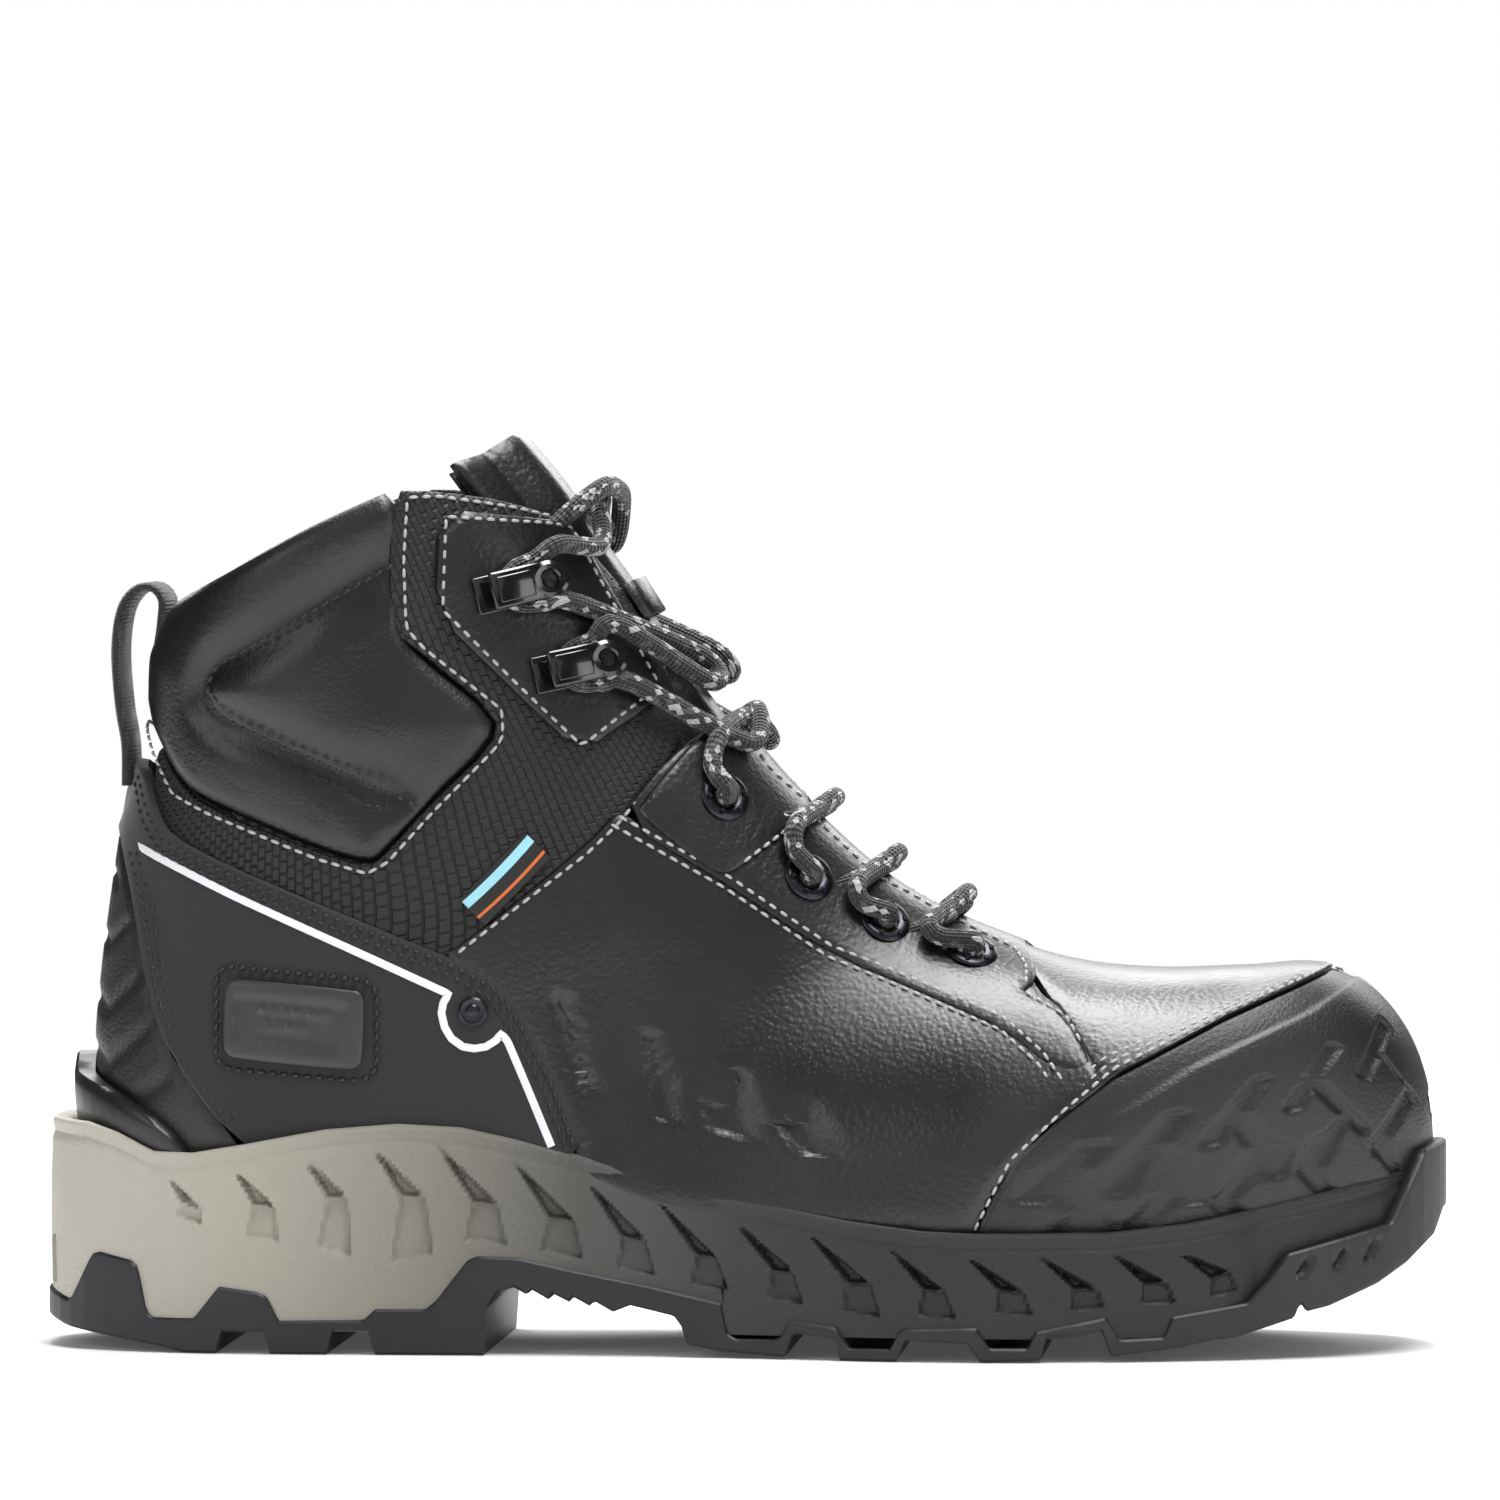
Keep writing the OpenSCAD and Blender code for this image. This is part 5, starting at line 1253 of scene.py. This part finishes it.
# %% Outsole
top_z = np.minimum(heights(SOLE_LINE, px), 46.0)
under_z = heights(UNDER, px)
slots = [(-4.0, top_z - 1.0), (-1.6, top_z), (-0.5, top_z - 0.1), (0.0, top_z - 0.6)]
for f in np.linspace(0.06, 0.94, 12):
    z = top_z - 0.6 + (under_z + 0.8 - top_z + 0.6) * f
    push = sum(1.2 * pressed(px, z, shape, 0.6) for shape in TOE_SLOTS)
    slots.append((0.05 - push, z))
slots += [(0.0, under_z + 0.7), (-0.7, under_z), (None, under_z)]
slots = [(None, top_z - 2.5)] + slots
sole_band("outsole", slots, outsole_rubber, node_names=("outsole",), smooth=30)

# %% [markdown]
# A hard clip wraps the top of the heel, a wedge from the side. It is a strip round the last,
# thick at the back and thin where it ends.

# %% Heel clip
CLIP = [(-155.3, 64.7), (-153.3, 62.1), (-145.5, 62.5), (-135.3, 56.7), (-123.9, 50.1),
     (-118.8, 43.8), (-124.2, 42.9), (-129.7, 44.5), (-140.8, 49.8), (-150.6, 51.6),
     (-155.3, 52.3)]
clip_half = laid_flat(along(rounded(CLIP[1:-1], 1, closed=False), 1.2, closed=False), 1)
seam_row = 180 * ANGLE_MM
start_u, end_u = clip_half[0, 0], clip_half[-1, 0]
clip_half = np.vstack([[start_u, seam_row], clip_half[clip_half[:, 1] < seam_row - 0.5],
                       [end_u, seam_row]])
clip_line = np.vstack([clip_half, (clip_half * (1, -1) + (0, 2 * seam_row))[::-1][1:-1]])


def clip_taper(flat, away):
    round_back = np.clip(1 - np.abs(flat[:, 1] - seam_row) / 62, 0, 1)
    return 3.6 * round_back ** 0.8


panel("heel_clip", clip_line, *LAYERS["heel clip"], clip_plastic, edge=1.0, grid=1.4,
      relief=clip_taper, node_names=("heel_stabilizer",))

# %% [markdown]
# The lace is a round braid 4.4 mm thick and about 1.1 m long. Its ends are tucked in behind the
# stays. It comes up through each eyelet, crosses the tongue, and goes down under the other stay.

# %% Lace route
LACE_THICK = 4.4


def skin_spot(u, y, off):
    return skin(np.array([u]), np.array([angle_at(np.array([u]), np.array([y]))[0]]),
                np.array([float(off)]))[0]


def eyelet_spots(k, side):
    u, a = locate([EYELETS[k]])
    a = side * a
    high = 2.6 if k == 0 else 1.7
    return [skin(u, a, np.array([h]))[0] for h in (-3.2, high + 0.6, high + 3.2)]


def ring_at(k):
    return float(locate([EYELETS[k]])[0][0])


def crossing(k, side):
    """From under the stay, up through eyelet k on this side and over the tongue towards the next."""
    under, mouth, crest = eyelet_spots(k, side)
    u = ring_at(k)
    y_eye = abs(mouth[1])
    edge_y = 17.5
    over = skin_spot(u - 0.50, side * (edge_y + y_eye) * 0.5, 4.6)
    edge = skin_spot(u - 0.95, side * edge_y * 0.92, 4.9)
    lift = 3.0 + (1.6 if side < 0 else 3.8)
    middle = skin_spot(u - 1.1, 0.0, lift)
    down = skin_spot(u - 1.15, -side * 12.5, 1.2)
    return [under, mouth, crest, over, edge, middle, down]


def hook_spots(side):
    """Round the lower hook, back to the middle, round the upper hook and away."""
    out = []
    for spot in (HOOKS[1], HOOKS[0]):
        matrix = frame_at(spot, side, 1.6, turn=-16)
        turn_in = 1 if side < 0 else -1
        for x, y, z in ((10.5, -turn_in * 6.2, 3.2), (4.0, -turn_in * 4.6, 2.8),
                        (-1.5, -turn_in * 3.6, 2.7), (-4.4, 0.0, 2.7), (-1.5, turn_in * 3.6, 2.7),
                        (4.0, turn_in * 4.8, 2.9), (10.0, turn_in * 7.0, 4.0)):
            out.append(np.array((matrix @ Vector((x, y, z))) / MM))
    return out


def lace_side(side):
    """Half of the lace: the lowest eyelet up to the tucked end. side is where it starts."""
    points, now = [], side
    for k in (3, 2, 1, 0):
        spots = crossing(k, now)
        points += spots
        now = -now
        if k:
            u = ring_at(k - 1)
            points.append(skin_spot(u + 0.25, now * 19.0, -1.2))
    return points, now


def smooth_line(points, step=1.2):
    p = np.array(points, float)
    ghost = np.vstack([2 * p[0] - p[1], p, 2 * p[-1] - p[-2]])
    out = []
    for k in range(1, len(ghost) - 2):
        p0, p1, p2, p3 = ghost[k - 1:k + 3]
        n = max(2, int(np.linalg.norm(p2 - p1) / step))
        for t in np.arange(n) / n:
            out.append(0.5 * ((2 * p1) + (p2 - p0) * t + (2 * p0 - 5 * p1 + 4 * p2 - p3) * t ** 2
                              + (3 * p1 - p0 - 3 * p2 + p3) * t ** 3))
    out.append(p[-1])
    return np.array(out)


def upper_half(side):
    """From the last crossing up through both hooks of this side to the tucked end."""
    lower = hook_spots(side)[:7]
    upper = hook_spots(side)[7:]
    between = [skin_spot(3.35, side * 9.0, 4.6 if side < 0 else 6.6),
               skin_spot(3.0, side * 4.0, 5.0 if side < 0 else 7.2)]
    lift = 4.4 if side < 0 else 8.4
    end = [skin_spot(1.45, side * 16.0, 4.6), skin_spot(1.12, side * 8.0, lift),
           skin_spot(1.0, 0.0, lift + 0.4), skin_spot(0.95, -side * 9.0, lift),
           skin_spot(1.0, -side * 16.0, 3.4), skin_spot(1.1, -side * 20.5, -1.6)]
    return lower + between + upper + end


first, first_end = lace_side(-1)
second, second_end = lace_side(1)
top_first = [skin_spot(4.4, first_end * 12, 4.6)] + upper_half(first_end)
top_second = [skin_spot(4.5, second_end * 12, 6.4)] + upper_half(second_end)
first, second = first[:-1], second[:-1]
route = smooth_line(top_second[::-1] + second[::-1] + first + top_first)
lengths = np.linalg.norm(np.diff(route, axis=0), axis=1)
print("lace points", len(route), "length mm", round(float(lengths.sum())))

# %% Lace braid
braid, tree, shader = finish_named("braided_polyester_lace")
braid_uv = node(tree, "SeparateXYZ", {0: node(tree, "UVMap").outputs["UV"]})
strands = []
for sign in (1, -1):
    slant = node(tree, "Math", {0: braid_uv.outputs["X"], 1: 4.0 * sign}, operation="MULTIPLY")
    turns = node(tree, "Math", {0: braid_uv.outputs["Y"], 1: 1 / 4.4, 2: slant.outputs[0]},
                 operation="MULTIPLY_ADD")
    strands.append(turns.outputs[0])
lattice = node(tree, "CombineXYZ", {0: strands[0], 1: strands[1]})
fleck = node(tree, "TexWhiteNoise", {"Vector": node(tree, "VectorMath", {
    0: node(tree, "VectorMath", {0: lattice.outputs[0], 1: (2, 2, 2)},
            operation="MULTIPLY").outputs[0]}, operation="FLOOR").outputs[0]},
    noise_dimensions="3D")
pick = node(tree, "ValToRGB", {"Fac": fleck.outputs["Value"]})
pick.color_ramp.interpolation = "CONSTANT"
stops = pick.color_ramp.elements
stops[0].position, stops[0].color = 0.0, linear("#121213")
stops[1].position, stops[1].color = 0.62, linear("#48484a")
stops.new(0.74).color = linear("#b4b4b6")
stops.new(0.88).color = linear("#161617")
tree.links.new(pick.outputs["Color"], shader.inputs["Base Color"])
wave_u = node(tree, "Math", {0: node(tree, "Math", {0: strands[0], 1: 4 * math.pi},
                                     operation="MULTIPLY").outputs[0]}, operation="SINE")
wave_v = node(tree, "Math", {0: node(tree, "Math", {0: strands[1], 1: 4 * math.pi},
                                     operation="MULTIPLY").outputs[0]}, operation="SINE")
ribs = node(tree, "Math", {0: wave_u.outputs[0], 1: wave_v.outputs[0]}, operation="MULTIPLY")
raise_surface(tree, shader, ribs.outputs[0], 0.35)
shader.inputs["Roughness"].default_value = 0.62
shader.inputs["Sheen Weight"].default_value = 0.2

AROUND = 16
sheath = LACE_THICK / 2 - 0.05
tangent = np.gradient(route, axis=0)
tangent /= np.linalg.norm(tangent, axis=1, keepdims=True)
normal = np.cross(tangent[0], (0, 0, 1))
rings_made, run = [], np.concatenate([[0], np.cumsum(lengths)])
for point, way in zip(route, tangent):
    normal = normal - way * normal.dot(way)
    normal /= np.linalg.norm(normal)
    other = np.cross(way, normal)
    t = np.arange(AROUND) * 2 * math.pi / AROUND
    rings_made.append(point + sheath * (np.cos(t)[:, None] * normal + np.sin(t)[:, None] * other))
count = len(route)
faces = tube_faces(count, AROUND) + tube_ends(count, AROUND)
lace = new_piece("lace", np.vstack(rings_made), faces, braid, node_names=("lace",), smooth=70)
layer = lace.data.uv_layers.new(name="UVMap")
for face in lace.data.polygons:
    for loop in face.loop_indices:
        v = lace.data.loops[loop].vertex_index
        i, j = divmod(v, AROUND)
        wrap = 1.0 if j == 0 and any(lace.data.loops[k].vertex_index % AROUND == AROUND - 1
                                     for k in face.loop_indices) else 0.0
        layer.data[loop].uv = (j / AROUND + wrap, run[i])
face_outward(lace)
print("lace faces", len(lace.data.polygons))

# %% [markdown]
# Small trim: the white line let into the nubuck, a plain rubber badge with a raised border, rivets,
# the side tag in plain stripes, a webbing pull loop and a leather tongue loop.

# %% White line, badge and rivets
LINE = [(-137.1, 115), (-132.2, 110.6), (-110.8, 100.6), (-62.7, 79.2), (-63.9, 77.2),
     (-64.3, 75), (-63.6, 71.9), (-62.1, 69.4), (-59.6, 67.6), (-57, 67.2), (-54.5, 67.6),
     (-52.3, 69), (-51.2, 70.5), (-49.8, 68.8), (-39.8, 45.6)]


def ribbon(points, width):
    """The outline of a ribbon of constant width along a line."""
    p = along(points, 0.8, closed=False)
    d = np.gradient(p, axis=0)
    d /= np.linalg.norm(d, axis=1, keepdims=True)
    side = np.stack([-d[:, 1], d[:, 0]], -1) * width / 2
    return np.vstack([p + side, (p - side)[::-1]])


BADGE = [(-111.7, 79.9), (-110.4, 81.7), (-108.1, 81.9), (-83.2, 79.9), (-81.7, 79),
     (-81.2, 77.2), (-81.7, 64.7), (-82.5, 63), (-84.5, 62.5), (-109.5, 64.7), (-111.2, 65.6),
     (-112.1, 67.4)]
BARS_ON_BADGE = [
    [(-105, 76.3), (-88.1, 75), (-88.1, 73.6), (-105, 75)], [(-105, 72.8), (-93, 71.9),
    (-93, 70.5), (-105, 71.4)]]


def badge_relief(flat, away):
    """A raised rim round a sunk field, with two plain bars where a name would be."""
    lift = -0.8 * np.clip((away - 1.5) / 0.4, 0, 1)
    for bar in BARS_ON_BADGE:
        shape = laid_flat(along(bar, 1.0), -1)
        lift += 0.8 * within(flat, shape) * np.clip(distance_to(flat, shape) / 0.3, 0, 1)
    return lift


for side_name, side in SIDES:
    panel("reflective_line_" + side_name, laid_flat(ribbon(LINE, 1.7), side), *LAYERS["piping"],
          white_piping, edge=0.25, grid=0.9, node_names=("reflective_line_" + side_name,))
panel("badge", cut_out(BADGE, -1, 1, 0.8), *LAYERS["badge"], badge_rubber, edge=0.5, grid=0.6,
      relief=badge_relief, node_names=("badge",))
rivet = spun("rivet_master", [(0.01, -1.0), (2.6, -1.0), (3.3, 0.0), (3.2, 0.6), (2.7, 0.95),
                              (2.2, 0.8), (1.6, 0.85), (1.2, 1.2), (0.01, 1.3)], 32)
placed(rivet, "heel_studs", [frame_at((-57.4, 75.4), side, 1.7) for _, side in SIDES], gunmetal,
       node_names=("heel_studs",), smooth=35)
drop(rivet)

# %% Tag and webbing loops
TAG = [(-60.5, 99.9), (-46.3, 114.6), (-40.5, 109), (-54.7, 94.1)]
tag = panel("side_tag", laid_flat(along(TAG, 1.0), -1), *LAYERS["tag"], tag_satin, edge=0.2,
            grid=1.2, node_names=("tag",))
corners = laid_flat(np.array(TAG), -1)
long_way, short_way = corners[1] - corners[0], corners[3] - corners[0]
spread = np.linalg.inv(np.stack([long_way, short_way], 1))
for point in tag.data.uv_layers["UVMap"].data:
    s, t = spread @ (np.array(point.uv) - corners[0])
    point.uv = (s, t)


def strap(name, line, width, thick, finish, across=(0, 1, 0), **riding):
    """A flat woven strap: a line in mm, with rounded edges, swept with its width along across."""
    p = smooth_line(line, 1.0)
    d = np.gradient(p, axis=0)
    d /= np.linalg.norm(d, axis=1, keepdims=True)
    wide = np.tile(np.array(across, float), (len(p), 1))
    out = np.cross(d, wide)
    shape = [(-0.5, 0.25), (-0.5, -0.25), (-0.46, -0.5), (0.46, -0.5), (0.5, -0.25), (0.5, 0.25),
             (0.46, 0.5), (-0.46, 0.5)]
    layers = [p + wide * width * a + out * thick * b for a, b in shape]
    n, m = len(p), len(shape)
    vertices = np.stack(layers, 1).reshape(-1, 3)
    made = new_piece(name, vertices, tube_faces(n, m) + tube_ends(n, m), finish, smooth=50,
                     **riding)
    face_outward(made)
    return made


strap("pull_loop", [(-137.5, 0, 124), (-137.6, 0, 133), (-139.0, 0, 142), (-139.8, 0, 154),
                    (-138.6, 0, 163), (-135.6, 0, 167.4), (-132.0, 0, 168.2), (-129.4, 0, 165.5),
                    (-129.6, 0, 160), (-130.6, 0, 153)], 24, 1.8, webbing,
      node_names=("pull_loop",))
LOOP_RING = 2.1
up_tongue = skin_spot(LOOP_RING + 0.4, 0, 0) - skin_spot(LOOP_RING - 0.4, 0, 0)
strap("tongue_loop", [skin_spot(LOOP_RING, y, off) for y, off in (
    (-9.2, 0.0), (-8.0, 1.6), (-4, 2.4), (0, 2.6), (4, 2.4), (8.0, 1.6), (9.2, 0.0))],
      9.0, 1.1, full_grain, across=up_tongue / np.linalg.norm(up_tongue),
      body="tongue", node_names=("tongue_loop",))
patch = softened_block("patch_master", (2.0, 32.0, 11.0), (-152.6, 0, 19.0), 0.9)
placed(patch, "heel_patch", [Matrix.Diagonal((MM, MM, MM, 1))], olive_foam,
       node_names=("heel_patch",), smooth=40)
drop(patch)
print("tag, loops and heel patch")

# %% [markdown]
# The footbed is a padded insole: a rounded rim, a shallow hollow under the heel and a low swell
# under the arch. A row of stations gives its edges and its middle.

# %% Footbed
BED = np.array([(-114, -7, 6, 40.4, 39.6), (-112.6, -15, 13.5, 40.4, 39.6),
                (-106, -23.3, 21.5, 40.3, 39.3), (-92, -26.6, 24.3, 40, 38.6),
                (-64, -28.8, 26, 38.4, 36.7), (-36, -31.5, 28.3, 35, 33.4),
                (-8, -34.4, 31.4, 31.7, 30), (20, -37.4, 35.2, 28.8, 27.1),
                (48, -38.6, 37.9, 27.7, 26), (76, -37, 38.6, 27.6, 26),
                (90, -34.6, 37.6, 28, 26.4), (104, -30.9, 35.5, 29.1, 27.5),
                (118, -25.8, 31.8, 31.1, 29.6), (132, -18.9, 25.3, 34.8, 33.5),
                (138, -12.5, 20, 36.6, 35.6), (140, -5, 14, 37.4, 36.6)])
bx = np.concatenate([np.linspace(-114, -104, 14), np.linspace(-102, 130, 70),
                     np.linspace(132, 140, 12)])
outer_y, inner_y, rim_z, mid_z = (np.interp(bx, BED[:, 0], BED[:, k]) for k in (1, 2, 3, 4))
v = np.linspace(-1, 1, 41)
bed_y = (outer_y + inner_y)[:, None] / 2 + (inner_y - outer_y)[:, None] / 2 * v
inset_y = np.minimum((1 - np.abs(v))[None, :] * (inner_y - outer_y)[:, None] / 2, 2.0)
inset_x = np.minimum(np.minimum(bx + 114, 140 - bx), 2.0)[:, None]
rim = np.minimum(inset_y, inset_x)
soft = 1.5 * (1 - np.sqrt(np.clip(1 - (1 - rim / 2) ** 2, 0, 1)))
swell = 0.8 * np.exp(-((bx + 8) / 34) ** 2)[:, None] * np.clip(v, 0, 1) * (1 - v ** 6)
bed_z = mid_z[:, None] + (rim_z - mid_z)[:, None] * np.abs(v) ** 3 + swell - soft
low_z = mid_z[:, None] + (rim_z - mid_z)[:, None] * np.abs(v) ** 3 - 3.9 + soft * 0.4
x_all = np.repeat(bx[:, None], len(v), 1)
top_side = np.stack([x_all, bed_y, bed_z], -1).reshape(-1, 3)
low_side = np.stack([x_all, bed_y, low_z], -1).reshape(-1, 3)
footbed = new_piece("footbed", np.vstack([top_side, low_side]), sheet_faces(*x_all.shape),
                    footbed_cloth, body="footbed", node_names=("footbed",), smooth=50)
face_outward(footbed)
print("footbed faces", len(footbed.data.polygons))

# %% [markdown]
# Two last pieces finish the boot: the lining under the vamp, which reuses the outlines of the vamp
# and the toe guard, and the dark row of stitches that holds the badge.

# %% Vamp lining and badge stitching
toe_lining = np.vstack([back_line, mirrored(foot_half)[::-1][1:], tip_row[::-1][1:-1],
                        foot_half[:-1]])
panel("vamp_lining", toe_lining, *LAYERS["vamp lining"], lining_mesh, edge=0.5, grid=3.0,
      node_names=("vamp_lining",))
BADGE_SEAM = [(-113.9, 83), (-111.7, 84.8), (-108.1, 84.5), (-81.4, 82.1), (-78.5, 79.9),
     (-78.5, 63), (-81, 60.1), (-84.1, 60.1), (-111.2, 62.3), (-113.9, 64.3), (-113.9, 83)]
sewn("badge_seam", [(BADGE_SEAM, -1, 1.75)], dark_thread, pitch=2.6, long=1.9, thick=0.55)

# %% [markdown]
# A plain pale floor and three soft lights: a wide one overhead for the long shine on the toe, one
# from the left for the heel and collar, and a weak one from the right.

# %% Floor and light
bpy.ops.mesh.primitive_plane_add(size=2.4, location=(0, 0, -0.0002))
floor = bpy.context.object
floor.name = "studio_floor"
floor_paint, tree, shader = finish_named("white_studio_paint")
shader.inputs["Base Color"].default_value = linear("#f6f6f6")
shader.inputs["Roughness"].default_value = 0.9
shader.inputs["Emission Color"].default_value = (1, 1, 1, 1)
shader.inputs["Emission Strength"].default_value = 0.06
floor.data.materials.append(floor_paint)


def soft_light(name, place, size, watts, target=(0, 0, 0.09)):
    lamp = bpy.data.lights.new(name, "AREA")
    lamp.shape, lamp.size, lamp.size_y, lamp.energy = "RECTANGLE", size[0], size[1], watts
    made = bpy.data.objects.new(name, lamp)
    bpy.context.collection.objects.link(made)
    made.location = place
    made.rotation_euler = (Vector(place) - Vector(target)).to_track_quat("Z", "Y").to_euler()
    return made


soft_light("overhead", (0.1, 0.05, 1.5), (2.2, 0.5), 52)
soft_light("left_front", (-1.2, -1.3, 0.9), (0.5, 1.0), 6)
soft_light("right_front", (1.3, -1.0, 0.4), (0.4, 0.8), 3)
soft_light("behind", (0.1, 1.4, 0.9), (2.0, 0.8), 22)
soft_light("front", (0.0, -1.8, 0.7), (2.0, 1.0), 3.5)
world = bpy.data.worlds.new("white_room")
bpy.context.scene.world = world
world.use_nodes = True
sky = world.node_tree.nodes["Background"]
sky.inputs["Color"].default_value = (1, 1, 1, 1)
ray = node(world.node_tree, "LightPath")
strength = node(world.node_tree, "MapRange", {"Value": ray.outputs["Is Camera Ray"],
                                              "To Min": 0.06, "To Max": 1.0})
world.node_tree.links.new(strength.outputs[0], sky.inputs["Strength"])
bpy.context.scene.view_settings.view_transform = "Standard"

# %% Sizes and finish
print("cad mm", [[round(v * 1000, 1) for v in c] for c in cad_box])
